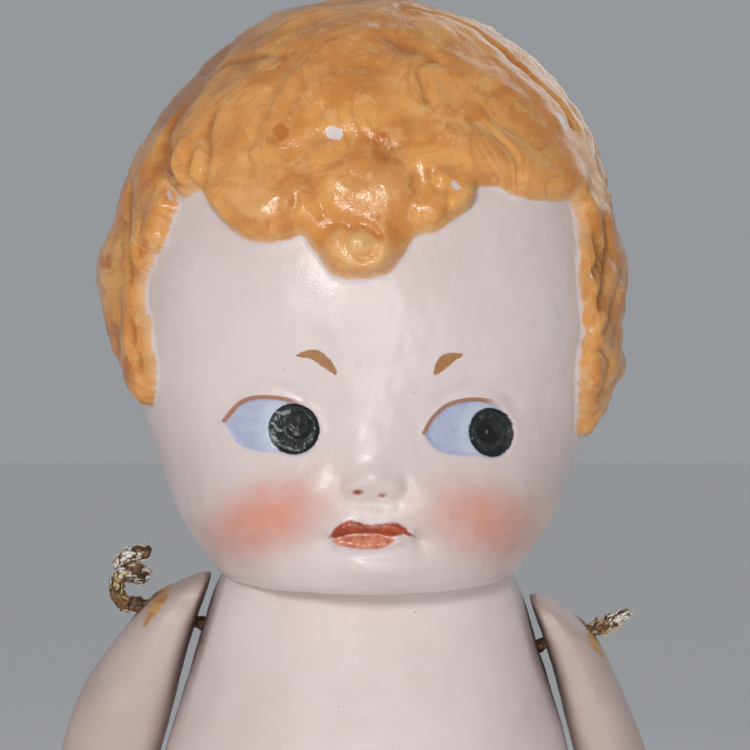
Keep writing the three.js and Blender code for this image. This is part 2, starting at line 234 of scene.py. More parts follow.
def make_mesh(name, points, faces, values=None):
    """A Blender object from points in millimetres, with an attribute for each of `values`."""
    mesh = bpy.data.meshes.new(name)
    mesh.from_pydata((np.asarray(points) * MM).tolist(), [], faces)
    mesh.polygons.foreach_set("use_smooth", [True] * len(mesh.polygons))
    made = bpy.data.objects.new(name, mesh)
    bpy.context.scene.collection.objects.link(made)
    for key, numbers in (values or {}).items():
        store(made, key, numbers)
    mesh.update()
    return made


def points_of(piece):
    flat = np.empty(len(piece.data.vertices) * 3, np.float32)
    piece.data.vertices.foreach_get("co", flat)
    return flat.reshape(-1, 3).astype(float) / MM


def apply_modifier(piece, kind, **settings):
    modifier = piece.modifiers.new(kind.lower(), kind)
    for key, value in settings.items():
        setattr(modifier, key, value)
    with bpy.context.temp_override(object=piece, active_object=piece):
        bpy.ops.object.modifier_apply(modifier=modifier.name)


def cut(piece, tool, operation="DIFFERENCE"):
    apply_modifier(piece, "BOOLEAN", object=tool, operation=operation, solver="MANIFOLD")
    bpy.data.objects.remove(tool)


def bar(start, end, radius, sides=32):
    """A closed round bar, to cut with."""
    start, end = np.asarray(start, float), np.asarray(end, float)
    along = Vector(end - start).to_track_quat("Z", "Y").to_matrix()
    turn = np.arange(sides) / sides * TURN
    circle = np.stack([np.cos(turn), np.sin(turn), 0 * turn], -1) * radius
    circle = circle @ np.array(along).T
    points = np.vstack([start + circle, end + circle, start, end])
    return make_mesh("bar", points, flipped(tube_faces(2, sides)))


# ---------------------------------------------------------------- the head's form

# Rows down the skin and scalp: height at the sides, half-width, depth in front, depth behind,
# drop of the front, roundness (2 is an ellipse, more is squarer).
HEAD_ROWS = [
    (138.5, 1, 1, 1.1, 0, 2), (138.1, 3.4, 3.6, 3.8, 0, 2), (136.8, 7.6, 8, 8.4, 0, 2),
    (134.6, 11, 11.6, 12.2, 0, 2.05), (131.6, 13.9, 14.6, 15.4, 0, 2.1), (128, 16, 16.8, 17.8, 0, 2.15),
    (124, 17.3, 18.1, 19.2, 0, 2.2), (119.5, 18, 18.7, 19.8, 0, 2.25), (115, 18.15, 18.8, 19.7, 0, 2.3),
    (111, 17.8, 18.6, 18.9, 0, 2.3), (107.5, 16.8, 18.2, 17.3, 0, 2.3), (104, 15.6, 17.9, 15.2, 0, 2.25),
    (101, 14.5, 17.8, 13, 0, 2.2), (98.8, 13.1, 17.3, 11.4, -0.2, 2.15), (97.3, 12, 16.6, 10.7, -0.7, 2.1),
    (96.3, 11.4, 15.4, 10.2, -0.9, 2.1), (95.9, 10.4, 13.2, 9.4, -0.8, 2.1), (96, 8, 9.6, 7.2, -0.4, 2),
    (96.4, 3, 3.6, 3, 0, 2),
]
SEEN_ROWS = 16  # the rows above the place where the chin turns under
HEAD_AROUND = 280
FRONT_BUNCH = 0.6  # how much closer the columns stand at the face than on average
FACE_TOP = 113.5  # the rings stand closest from here down to the chin
UNDER_CHIN = 16.0  # length of the profile under the chin, where they needn't
FACE_STEP, HAIR_STEP = 0.16, 0.34
HEAD_MIDDLE = (0.0, 0.0, 117.0)
SCALP_RADIUS = 17.5  # turns a bearing round the head into millimetres


def section(z, lift=0.0):
    """Half-width, front depth and roundness at heights z of the head, grown by `lift`."""
    steps = 6
    rows = spline(HEAD_ROWS, steps)[: SEEN_ROWS * steps]
    down, out = np.gradient(rows[:, 0]), np.gradient(rows[:, 2])
    length = np.hypot(down, out)
    rows[:, 0] += lift * out / length
    rows[:, 1:3] -= (lift * down / length)[:, None]
    order = np.argsort(rows[:, 0])
    return [np.interp(z, rows[order, 0], rows[order, k]) for k in (1, 2, 5)]


def front_points(line, lift=0.0):
    """Points of the head's front, `lift` above the scalp, for a line in the front view."""
    x, z = np.asarray(line, float).T
    half, front, roundness = section(z, lift)
    share = np.clip(np.abs(x) / half, 0, 0.999)
    return np.stack([x, -front * (1 - share**roundness) ** (1 / roundness), z], -1)


def head_grid():
    """The bare head as a grid of points, rings from the crown down and columns from the nape round."""
    fine = spline(HEAD_ROWS, 40)
    step = np.diff(np.stack([fine[:, 2], fine[:, 0] + fine[:, 4]], -1), axis=0)
    travelled = np.concatenate([[0], np.cumsum(np.hypot(*step.T))])
    close = (fine[:, 0] < FACE_TOP) & (travelled < travelled[-1] - UNDER_CHIN)
    density = np.where(close, 1 / FACE_STEP, 1 / HAIR_STEP)
    count = np.concatenate([[0], np.cumsum((density[1:] + density[:-1]) / 2 * np.diff(travelled))])
    wanted = np.interp(np.arange(int(count[-1]) + 1), count, np.arange(len(fine)))
    rows = np.stack([np.interp(wanted, np.arange(len(fine)), column) for column in fine.T], -1)
    turn = np.arange(HEAD_AROUND) / HEAD_AROUND * TURN - math.pi
    bearing = turn - FRONT_BUNCH * np.sin(turn)
    z, half, front, back, drop, power = columns(rows)
    s, c = np.sin(bearing)[None], np.cos(bearing)[None]
    depth = np.where(c > 0, front, back)
    radius = ((np.abs(s) / half) ** power + (np.abs(c) / depth) ** power) ** (-1 / power)
    return np.stack([radius * s, -radius * c, z + np.where(c > 0, drop * c**2, 0)], -1)


# ---------------------------------------------------------------- the hair's edge

# Seen from the front, from the tip of the doll's right side lock, over the fringe and its forelock,
# to the tip of the left one.
HAIRLINE_FRONT = [
    (-15.7, 108.6), (-15.3, 111), (-15.6, 113.4), (-15.8, 115.2), (-16.2, 116.4), (-16, 118.3), (-15.4, 119),
    (-15.5, 119.7), (-14.7, 120.4), (-14.4, 121.6), (-13.6, 123.4), (-14.2, 124.8), (-13.2, 123.9),
    (-11.8, 124.3), (-11.1, 123), (-9.7, 121.5), (-8.4, 120.6), (-6.8, 120.4), (-5.4, 120.7), (-4.5, 120.9),
    (-3.9, 120.1), (-3.1, 119), (-2.6, 118.3), (-1.9, 117.9), (-0.7, 117.8), (0.4, 117.9), (1.6, 118.3),
    (2.6, 119.5), (3.5, 120.8), (4.9, 121.2), (6.1, 122), (7.2, 122.8), (7.7, 123.6), (7.8, 124.3),
    (8.8, 124.5), (9.9, 124.3), (10.6, 123.9), (11.9, 123.7), (13.7, 123.6), (14.9, 123.6), (15.4, 120.9),
    (15.4, 118.9), (15.5, 117.2), (15.7, 115.4), (15.8, 114), (15.4, 111.9), (15.4, 109.9), (15.5, 107.1),
    (15.8, 106.2),
]
# The same edge behind, by the bearing in degrees from straight ahead, to the doll's left and to its right.
HAIRLINE_LEFT = [(68, 107.4), (78, 109.4), (90, 110.6), (100, 108.8), (112, 105.6)]
HAIRLINE_RIGHT = [(-112, 106.6), (-100, 110.4), (-90, 112.8), (-80, 112.2), (-70, 110.4)]
NAPE_Z = 100.2
NAPE_CURLS = 9  # scallops between the two ears


def nape_line():
    """The scalloped lower edge at the back, from behind the left ear to behind the right one."""
    share = np.linspace(0, 1, NAPE_CURLS * 8 + 1)[1:-1]
    ear = HAIRLINE_LEFT[-1][0]
    bearing = ear + share * (360 - 2 * ear)
    low = NAPE_Z + 5.5 * (2 * share - 1) ** 4
    return np.stack([bearing, low - 0.8 * np.abs(np.sin(share * NAPE_CURLS * math.pi)) ** 0.7], -1)


def unrolled(bearing, z):
    """Places on the head as (distance round it, height)."""
    return np.stack([bearing * SCALP_RADIUS, z], -1)


def hairline():
    """The hair's edge from the nape over the doll's right side and the fringe to the nape again."""
    seen = front_points(spline(HAIRLINE_FRONT, 4))
    front = unrolled(np.arctan2(seen[:, 0], -seen[:, 1]), seen[:, 2])
    nape = nape_line()
    half = len(nape) // 2
    left = np.vstack([HAIRLINE_LEFT, nape[: half + 1]])
    right = np.vstack([nape[half:] - [360, 0], HAIRLINE_RIGHT])
    left, right = [unrolled(np.radians(side[:, 0]), side[:, 1]) for side in (left, right)]
    return np.vstack([right, front, left])


def hair_distance(points):
    """Millimetres inside the hair's edge, negative on the skin."""
    edge = hairline()
    flat = unrolled(np.arctan2(points[:, 0], -points[:, 1]), points[:, 2])
    above = 200.0
    return signed_distance(flat, np.vstack([edge, (edge[-1, 0], above), (edge[0, 0], above)]), edge)


# ---------------------------------------------------------------- the face

FACE_MOUNDS = [
    (0.2, 116.5, 9, 5, 0.25),  # forehead
    (-6.9, 107.5, 4.4, 2.9, -0.55), (7.6, 107.3, 4.4, 2.9, -0.55),  # eye sockets
    (0.4, 107.8, 3.8, 3, 0.34), (0.45, 105.2, 3, 2.3, 0.55),  # bridge of the nose
    (0.45, 103.55, 1.45, 1.15, 0.95),  # its tip
    (-0.95, 102.95, 0.75, 0.65, 0.38), (1.9, 102.9, 0.75, 0.65, 0.38),  # its wings
    (0.5, 101.85, 1.7, 0.45, -0.18),  # under it
    (-8.6, 101.6, 4.4, 3.8, 0.8), (9.2, 101.4, 4.4, 3.8, 0.8),  # cheeks
    (-3.2, 102.5, 1.9, 1.8, 0.4), (4.7, 101.9, 2.1, 1.9, 0.42),  # their inner ends
    (0.4, 100.9, 2.8, 1, 0.32),  # upper lip
    (-3.1, 99.1, 0.8, 0.8, -0.3), (3.95, 98.95, 0.8, 0.8, -0.38),  # corners of the mouth
    (0.2, 98.35, 2, 0.4, -0.3),  # under the lower lip
    (0.8, 97.5, 3.3, 1.15, 0.8),  # chin
]
# Lines modelled in the face: the line, its width and how far it stands out.
FACE_LINES = [
    ([(-9.8, 109.3), (-8.1, 110.2), (-6.2, 110.1), (-4.6, 109.3)], 0.45, -0.16),  # creases over the lids
    ([(5.5, 109.2), (7.6, 110.1), (9.8, 109.9), (10.9, 109)], 0.45, -0.16),
    ([(-2.4, 99.65), (-1.3, 100.2), (0.3, 100.05), (1.8, 100.15), (3, 99.8)], 0.48, 0.42),  # lips
    ([(-1.9, 99.2), (-0.2, 98.9), (1.2, 99), (2.1, 99.35)], 0.48, 0.5),
    ([(-2.6, 99.35), (-1.6, 99.55), (0.2, 99.7), (1.7, 99.5), (2.6, 99.7)], 0.17, -0.36),  # between them
    ([(2.6, 99.75), (3.3, 99.5), (3.9, 99.1)], 0.22, -0.2),
    ([(-1.75, 103.6), (-1.85, 102.9), (-1.2, 102.2)], 0.35, -0.13),  # beside the nose
    ([(2.7, 103.6), (2.8, 102.9), (2.2, 102.1)], 0.35, -0.13),
]
# Each eye: the upper lid's edge, the lower one's, the painted disc's middle and radii, the pupil's middle and
# radius.
EYES = {
    "right": {
        "upper": [
            (-10.35, 107.5), (-9.25, 108.75), (-8.1, 109.2), (-6.5, 109.2), (-5.2, 108.95), (-3.9, 108.4),
            (-3.3, 107.1),
        ],
        "lower": [
            (-10.35, 107.5), (-10.1, 106.9), (-9.4, 106.1), (-8.6, 105.7), (-7.5, 105.5), (-6.3, 105.4),
            (-5, 105.2), (-3.9, 105.8), (-3.3, 107.1),
        ],
        "disc": (-5.3, 107.1, 1.93, 1.82),
        "pupil": (-5, 107.35, 0.98),
    },
    "left": {
        "upper": [
            (4.15, 106.7), (4.9, 107.9), (5.95, 108.7), (7.3, 109.05), (8.65, 109), (9.8, 108.55),
            (10.8, 107.2),
        ],
        "lower": [
            (4.15, 106.7), (4.75, 105.9), (5.6, 105.4), (6.8, 105.2), (7.8, 105.2), (8.9, 105),
            (10.2, 105.4), (10.8, 107.2),
        ],
        "disc": (9.15, 106.8, 1.62, 1.74),
        "pupil": (9.05, 106.9, 0.85),
    },
}
# Where the dark paint of the irises has flaked to a light grey: the stroke and its half-width.
IRIS_FLAKES = [
    ([(-6.7, 108.25), (-6.2, 108.15), (-5.7, 108.3)], 0.12), ([(-6.6, 108), (-6.75, 107.75)], 0.12),
    ([(-7, 107.45), (-6.75, 107.2), (-6.9, 106.95)], 0.1), ([(-6.6, 107), (-6.2, 106.9)], 0.09),
    ([(-6.9, 106.5), (-6.5, 106.15), (-6.3, 106.2)], 0.08),
    ([(-5.9, 105.75), (-5.2, 105.55), (-4.6, 105.6)], 0.05),
    ([(-5.6, 107.3), (-5.35, 107), (-5.5, 106.7)], 0.06), ([(-6.2, 107.8), (-6.35, 107.3)], 0.04),
    ([(-4.6, 108.2), (-4, 107.7), (-3.75, 107)], 0.04), ([(-4.1, 106.3), (-4.6, 106)], 0.05),
    ([(7.8, 107.9), (7.65, 107.1), (7.9, 106.2)], 0.03), ([(8.95, 107.3), (9.1, 106.7)], 0.04),
]
BROWS = [
    [(-5.1, 112.35), (-4.3, 112.75), (-3.4, 112.75), (-2.5, 112), (-2.1, 111), (-3.3, 111.7), (-4, 112.15)],
    [(4.7, 111), (4.95, 111.9), (5.6, 112.55), (6.9, 112.5), (6.4, 112.1), (5.6, 111.4), (5, 111)],
]
UPPER_LIP = [
    (-2.75, 99.3), (-2.15, 100.2), (-1.45, 100.65), (-0.8, 100.65), (0.3, 100.4), (1.7, 100.55),
    (2.5, 100.35), (3.2, 99.65), (4, 99.05), (3.3, 99.45), (2.5, 99.7), (1.7, 99.5), (0.2, 99.7),
    (-1.6, 99.55),
]
LOWER_LIP = [
    (-2.5, 99.25), (-1.8, 98.95), (-0.2, 98.7), (1, 98.8), (1.9, 99.3), (1.7, 99.5), (0.2, 99.7),
    (-1.6, 99.55),
]
NOSTRILS = [(-0.6, 102.65, 0.36, 0.19), (1.1, 102.42, 0.26, 0.13)]
BLUSHES = [  # middle, reaches, slant, strength
    (-7.2, 100.7, 5.6, 3.3, 0.3, 1.0),
    (8.7, 100.4, 5.5, 3.5, -0.22, 0.9),
]


def blush_at(flat, shape):
    """Powdered colour, even in the middle and fading at its edge."""
    cx, cz, rx, rz, slant, strength = shape
    x, z = flat[:, 0] - cx, flat[:, 1] - cz
    away = ((x / rx) ** 2 + ((z - slant * x) / rz) ** 2) ** 1.4
    return strength * np.exp(-1.6 * away)


def sculpt_eye(flat, points, eye):
    """How far an eye stands out, and the paint distances of its white, disc, pupil and lash line."""
    x, z = flat.T
    upper, lower = spline(eye["upper"], 6), spline(eye["lower"], 6)
    outline = np.vstack([upper, lower[::-1]])
    opening = signed_distance(flat, outline, outline)
    disc = disc_distance(flat, *eye["disc"])
    *pupil_middle, pupil_radius = eye["pupil"]
    pupil = disc_distance(flat, *pupil_middle, pupil_radius, pupil_radius)
    middle = outline.mean(0)
    ball = 1 - ((x - middle[0]) / 4.2) ** 2 - ((z - middle[1]) / 2.6) ** 2
    out = smoothstep(opening, -0.08, 0.22) * (0.3 * np.clip(ball, 0, 1) - 0.34)
    upper_edge, lower_edge = [np.interp(x, *edge.T) for edge in (upper, lower)]
    around = (z > upper_edge) | (opening < 0)
    out += np.where(around, 0.16, 0.0) * bell(distance_to_line(flat, upper), 0.45)
    flakes = ripple(points, 0.55, 5) + 0.6 * ripple(points, 0.3, 6)
    out -= smoothstep(disc, -0.05, 0.2) * (0.2 + 0.045 * flakes)
    out -= smoothstep(pupil, -0.1, 0.15) * 0.2
    out += 0.1 * bell(pupil + 0.1, 0.12)
    lash = smoothstep(z - (upper_edge + lower_edge) / 2, -0.05, 0.15)
    lash *= smoothstep(x, upper[0, 0] - 0.4, upper[0, 0] - 0.1)
    lash *= 1 - smoothstep(x, upper[-1, 0] - 2.4, upper[-1, 0] - 1.0)
    return out, {"eye": opening, "iris": disc, "pupil": pupil, "lash": lash}


def sculpt_face(flat, points):
    """How far the face stands out, and the paint distances of everything painted on it."""
    face = mounds_at(flat, FACE_MOUNDS) + lines_at(flat, FACE_LINES)
    paints = []
    for eye in EYES.values():
        out, paint = sculpt_eye(flat, points, eye)
        face += out
        paints.append(paint)
    for shape in NOSTRILS:
        nostril = disc_distance(flat, *shape)
        face -= 0.25 * smoothstep(nostril, -0.15, 0.1)
        paints.append({"nostril": nostril})
    paints += [{"brow": area_distance(flat, outline)} for outline in BROWS]
    paints.append({"upper_lip": area_distance(flat, UPPER_LIP), "lower_lip": area_distance(flat, LOWER_LIP)})
    paints.append({"flake": widest(flat, IRIS_FLAKES)})
    values = {}
    for paint in paints:
        for key, distance in paint.items():
            values[key] = np.maximum(values.get(key, NOWHERE), distance)
    in_front = points[:, 1] < -4
    return face, {key: np.where(in_front, value, NOWHERE) for key, value in values.items()}


# ---------------------------------------------------------------- the hair

HAIR = 1.35  # how far the hair stands off the scalp
HAIR_ROUND = 1.5  # width of the rounded edge of a lock
WHORL = (5.0, -6.0, 138.0)  # where the strands of the hair start
LOCKS = 13  # waves that run down from the whorl behind
STRAND_SPREAD, STRAND_STRETCH = 13.0, 0.3  # how noise is drawn out into strands

# Creases and ridges modelled in the hair: the line, its width and how far it stands out.
HAIR_LINES = [
    ([
        (2.7, 138.4), (5.2, 138.1), (7.2, 137.3), (9.8, 135.5), (11.3, 134), (12.9, 132.5), (14.3, 131.2),
        (15.4, 129.5),
    ], 0.4, -0.42),
    ([(3.4, 138), (5.8, 137.4), (8.4, 135.7), (10.3, 133.6), (12.4, 131.4), (13.8, 129.8)], 0.8, 0.16),
    ([(5.6, 133.4), (5, 133.9), (4, 133.6), (3.7, 132.9), (4.1, 132), (4.4, 130.8)], 0.32, -0.4),
    ([(6.3, 133), (5.4, 132.9), (4.7, 132.4), (5, 130.8)], 0.5, 0.16),
    ([(1.2, 135.7), (3.1, 134.9), (4.9, 134.2)], 0.6, -0.22),
    ([(-1.5, 134.4), (0.8, 134.1), (3, 133.5)], 0.8, 0.16),
    ([(7.7, 129.2), (9.2, 128.1), (10.3, 127.1), (10.9, 125.9)], 0.45, -0.3),
    ([(8.6, 129.6), (9.8, 128.9), (10.8, 128.6)], 0.3, -0.22),
    ([(5.9, 128.2), (7.3, 126.9), (8.9, 126.2), (9.6, 125.2)], 0.6, 0.2),
    ([(4.6, 125.4), (4.8, 124.4), (5.8, 124), (6.6, 124.5)], 0.28, -0.35),
    ([(-10.7, 134.2), (-8.6, 134.5), (-7.3, 134.5), (-6, 134.3)], 0.3, -0.28),
    ([(-13.2, 131.7), (-11.8, 133.2), (-10.7, 134.1)], 0.6, -0.14),
    ([(-6.4, 132.3), (-7, 131), (-7.5, 129.3), (-8.3, 127.6)], 0.4, -0.2),
    ([(-4.4, 132.6), (-5, 131.2), (-5.9, 129.7)], 0.4, -0.18),
    ([(-5.3, 132.8), (-6, 131.2), (-6.6, 129.9)], 0.4, 0.15),
    ([(-14.1, 130.8), (-14.9, 128.9), (-15, 127.4), (-14.5, 125.9), (-14, 124.9)], 0.5, -0.5),
    ([(-11.2, 130.2), (-11.6, 128.6), (-11.5, 126.6), (-11.9, 124.9)], 0.4, -0.4),
    ([(-12.4, 129.1), (-13.4, 127.6), (-13.8, 126.2), (-13.3, 124.8)], 0.3, 0.25),
    ([(-12, 127.6), (-12.3, 126.2), (-12.7, 125.2)], 0.3, 0.2),
    ([(-12.8, 127.2), (-13.05, 126)], 0.36, -0.65),
    ([
        (-10.5, 123.6), (-9.6, 122.5), (-8.2, 121.7), (-6.5, 121.5), (-5.3, 122.1), (-4.9, 123.4),
    ], 0.35, -0.42),
    ([(-4.4, 126.6), (-4.2, 125.2), (-3.8, 124), (-3.1, 122.9)], 0.5, -0.2),
    ([(3.5, 125.6), (3.8, 124.8), (3.8, 123.8)], 0.4, -0.2),
    ([(-3.6, 127.6), (-1.6, 128), (0.6, 127.6), (2.4, 127)], 0.8, -0.25),
    ([(-9.5, 126.3), (-7.6, 126.7), (-5.6, 125.6)], 0.7, 0.16),
    ([(-1.3, 121.5), (-0.4, 121.6), (0.4, 121.3), (0.9, 120.8)], 0.3, -0.7),
    ([(-1.5, 120.6), (-1.3, 119.6), (-0.4, 119.2), (0.6, 119.5)], 0.28, -0.4),
    ([(5.9, 124.2), (5.8, 123.1), (5.5, 122.1)], 0.25, -0.26),
    ([
        (-17.9, 125), (-17.8, 122.5), (-17.7, 120.2), (-17.6, 118), (-17.5, 114.8), (-16.9, 111.8),
        (-16.1, 109.2),
    ], 0.42, -0.55),
    ([(-16.6, 122.4), (-16.9, 120.6), (-16.4, 119.1)], 0.25, -0.25),
    ([(-15.8, 121.6), (-16.1, 120.2), (-15.9, 119.3)], 0.2, -0.2),
    ([(-18.3, 122.5), (-18.1, 122)], 0.25, -0.4),
    ([(-18.3, 121.4), (-18.1, 120.9)], 0.25, -0.4),
    ([(-18.4, 120.3), (-18.1, 119.7)], 0.25, -0.4),
    ([(-19.4, 117.6), (-18.6, 116.2), (-18.4, 114.4)], 0.4, -0.25),
    ([(16, 123.8), (16.8, 121.8), (17.3, 120), (16.9, 118.2), (15.8, 117)], 0.38, -0.55),
    ([(17.7, 122.4), (17.9, 120.6), (17.6, 117.6), (17.1, 115.1), (15.8, 112.9)], 0.38, -0.55),
    ([(18.9, 118.8), (18.4, 116.6), (17.9, 114.4), (17, 113.4)], 0.3, -0.3),
    ([(17.4, 112.9), (18, 112), (17.6, 110.2), (16.6, 108.4)], 0.3, -0.3),
]
# Rounded lobes of the hair, given as mounds.
HAIR_MOUNDS = [
    (4.8, 122.7, 1.3, 1.3, 0.3), (5.3, 124.9, 0.9, 0.8, 0.4), (10.6, 125.6, 2.6, 1.4, 0.3),
    (-13, 126.4, 1.6, 2.6, 0.35), (16.4, 111, 0.9, 0.9, 0.55), (16.35, 111.05, 0.3, 0.3, -0.4),
    (-15.4, 119.3, 0.7, 0.6, 0.3), (-3, 131.5, 4, 2.4, 0.25), (9.5, 131, 3, 2.4, 0.25),
    (-9.5, 130.6, 2.6, 3, 0.25), (-2, 136.5, 4.5, 1.6, 0.15), (5.5, 127.6, 3, 1.4, 0.25),
]
HAIR_KNOBS = [
    (-7.7, 123.5, 3.9, 2.7, 0.7), (-4.6, 122.7, 1.4, 1.9, 0.4), (-0.1, 124.1, 3.5, 2.7, 0.75),
    (-0.3, 119.9, 3, 2.15, 1.1), (4.8, 122.7, 1.7, 1.6, 0.4), (6.9, 123.7, 1.3, 1.1, 0.4),
]
FORELOCK = (-0.4, 119.9)  # middle of the curl over the forehead
# Small pits: across, height, radius, depth.
HAIR_PITS = [
    (-3.15, 129.9, 0.3, 0.32), (1.4, 126.5, 0.35, 0.38), (-0.7, 127.6, 0.18, 0.16), (-2.9, 126.7, 0.3, 0.28),
]
# Bulges of the side locks, by bearing in degrees, height, reach round, reach up, how far they stand out.
SIDE_LOBES = [
    (-88, 118.6, 16, 3.4, 1.15), (-94, 124.5, 14, 2.5, 0.2), (-104, 112.5, 9, 2.5, 0.3),
    (-112, 119, 9, 3, 0.4), (-72, 133, 30, 4.5, -0.75), (-88, 111.5, 16, 3, -0.5), (88, 118.6, 16, 2.6, 0.3),
    (86, 111.4, 12, 1.5, 0.35), (88, 114.4, 14, 1.6, -0.35), (90, 108.6, 14, 1.8, -0.6),
    (104, 113, 9, 2.5, 0.3), (112, 120, 9, 3, 0.3),
]
# Patches of the hair that the paint missed: the stroke and its half-width.
BARE_STROKES = [
    ([(-14.4, 124.5), (-13.9, 123.5)], 0.1), ([(-15.1, 121), (-15.3, 120.3)], 0.14),
    ([(-15.4, 119.3), (-15.2, 118.9)], 0.2), ([(-16.3, 117.6), (-16.1, 116.2), (-15.9, 114.8)], 0.1),
    ([(15.5, 121.8), (15.6, 119.9)], 0.1), ([(16, 118.3), (15.8, 117.4)], 0.14),
    ([(16, 115.1), (16.1, 114.3)], 0.14), ([(-2.55, 128.35), (-2.05, 128.2)], 0.4),
    ([(14.1, 130.1), (14.6, 129.3)], 0.3), ([(6.2, 124.6), (6.45, 124.4)], 0.26),
]
# Spots of darker paint: middle and radii.
ORANGE_DABS = [
    (-6.1, 128.3, 0.55, 0.6), (0.9, 127.9, 0.45, 0.4), (-16.1, 120.2, 0.3, 0.7), (-18.9, 119.4, 0.3, 0.6),
    (-18.9, 114.2, 0.3, 0.7), (-17.6, 111.5, 0.3, 0.9),
]


def strands(points):
    """The turn round the whorl, in radians, and the distance from it along the head, in millimetres."""
    middle = np.array(HEAD_MIDDLE)
    axis = np.array(WHORL) - middle
    axis /= np.linalg.norm(axis)
    across = np.cross(axis, [0, 1.0, 0])
    across /= np.linalg.norm(across)
    way = points - middle
    way /= np.linalg.norm(way, axis=1)[:, None]
    along = np.arccos(np.clip(way @ axis, -1, 1)) * (WHORL[2] - HEAD_MIDDLE[2])
    return np.arctan2(way @ np.cross(axis, across), way @ across), along


def strand_places(points):
    """Places in which noise becomes streaks that run down the strands."""
    turn, along = strands(points)
    turn = turn + 0.1 * np.sin(along / 4.1) + 0.2 * ripple(points, 9.0, 26)
    return np.stack([STRAND_SPREAD * np.cos(turn), STRAND_SPREAD * np.sin(turn), along * STRAND_STRETCH], -1)


def sculpt_hair(points, inside):
    """How far the hair stands off the scalp, and its modelled relief by itself."""
    flat = points[:, [0, 2]]
    bearing = np.degrees(np.arctan2(points[:, 0], -points[:, 1]))
    ahead = smoothstep(-points[:, 1], -2.0, 1.5)
    pits = [(x, z, radius, radius, -depth) for x, z, radius, depth in HAIR_PITS]
    relief = ahead * (mounds_at(flat, HAIR_MOUNDS + pits) + knobs_at(flat, HAIR_KNOBS))
    for line, width, height in HAIR_LINES:
        relief += height * bell(distance_to_line(points, front_points(spline(line, 4), HAIR)), width)
    for middle, z, reach, tall, height in SIDE_LOBES:
        away = (bearing - middle + 180) % 360 - 180
        relief += height * bell(away, reach) * bell(points[:, 2] - z, tall)
    x, z = (flat - FORELOCK).T
    away = np.hypot(x, z)
    relief += ahead * 0.2 * np.sin(2.9 * away - np.arctan2(z, x) + 2.2) * smoothstep(-away, -2.0, -1.0)
    turn, along = strands(points)
    warp = 0.9 * np.sin(along * 0.42 + 1.6 * np.sin(turn * 2)) + 0.9 * ripple(points, 15.0, 21)
    waves = np.abs(np.sin(turn * LOCKS / 2 + warp)) ** 0.6
    combed = ripple(strand_places(points), 1.3, 22)
    behind = smoothstep(np.abs(bearing), 50, 100) * smoothstep(along, 2.0, 9.0)
    relief += behind * (0.75 * (waves - 0.7) + 0.05 * combed) + (1 - behind) * 0.016 * combed
    relief += 0.12 * ripple(points, 6.0, 23) + 0.05 * ripple(points, 2.4, 24)
    relief += 0.012 * ripple(points, 1.0, 25)
    edge = np.clip(inside / HAIR_ROUND, 0, 1)
    body = np.sqrt(1 - (1 - edge) ** 2) * smoothstep(inside, -0.1, 0.4)
    return body * HAIR + smoothstep(inside, 0.0, 0.8) * relief, relief


def make_head():
    """The head with its paint values, closed underneath so that it can be joined to the torso."""
    grid = head_grid()
    points, normals = surface_of(grid, HEAD_MIDDLE)
    flat = points[:, [0, 2]]
    ahead = smoothstep(-points[:, 1], 2.0, 6.0)
    inside = hair_distance(points)
    hair_top = points + normals * HAIR * smoothstep(inside, 0.0, 1.0)[:, None]
    hair_flat = hair_top[:, [0, 2]]
    lift, relief = sculpt_hair(hair_top, inside)
    face, values = sculpt_face(flat, points)
    dabs = np.max([disc_distance(hair_flat, *shape) for shape in ORANGE_DABS], axis=0)
    values["dab"] = np.where(points[:, 1] < 0, dabs, NOWHERE)
    values["bare"] = np.where(points[:, 1] < 1, widest(hair_flat, BARE_STROKES), NOWHERE)
    values["blush"] = sum(blush_at(flat, shape) for shape in BLUSHES) * ahead
    values |= {"hair": inside, "relief": relief, "dull": 0 * inside, "rust_and_shade": 0 * inside}
    skin_grain = 0.012 * ripple(points, 1.2, 31) + 0.02 * ripple(points, 4.0, 32)
    out = lift + ahead * face * (1 - smoothstep(inside, 0.0, 1.0)) + skin_grain
    points = points + normals * out[:, None]
    values = {key: with_ends(value[:, None], HEAD_AROUND)[:, 0] for key, value in values.items()}
    values["strand"] = np.vstack([strand_places(points), np.zeros((2, 3))])
    return make_mesh("head", with_ends(points, HEAD_AROUND), tube_faces(len(grid), HEAD_AROUND), values)


# ---------------------------------------------------------------- the torso

# Rows down the torso: height, half-width, depth in front, depth behind, roundness. The first four are inside
# the head, which closes over the neck.
TORSO_ROWS = [
    (99.3, 2, 1.8, 1.7, 2.1), (98.4, 6, 5.4, 5, 2.2), (97.2, 9.4, 8.7, 8, 2.3), (96, 11, 10.1, 9.6, 2.35),
    (94, 11.95, 10.5, 10.1, 2.4), (90.5, 12.99, 10.9, 10.4, 2.45), (86.5, 14.18, 11.8, 10.9, 2.45),
    (82, 15.45, 12.9, 11.1, 2.4), (77.5, 16.6, 14, 11, 2.35), (73, 17.5, 14.9, 10.9, 2.3),
    (68.5, 18.1, 15.5, 11.2, 2.3), (64, 18.2, 15.6, 12.2, 2.3), (59.5, 17.8, 15, 13.3, 2.3),
    (55.5, 16.8, 13.6, 13.6, 2.3), (51, 14.6, 11.6, 12.6, 2.3), (46.5, 11.4, 9.4, 10.6, 2.2),
    (42.5, 7.8, 7, 7.8, 2.1), (40, 4.2, 4.2, 4.6, 2), (39.3, 1.2, 1.2, 1.4, 2),
]
TORSO_AROUND = 160
TORSO_VOXEL = 0.46
HIP_HALF = (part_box("left_leg")[0] / MM).x + 4.7  # half-width of the crotch block between the thighs
HIP_CUT_RADIUS = 7.8
HIP_BACK_SWING = 35
THIGH_SWEEP = 60.0  # longer than a thigh
BORE = 0.95
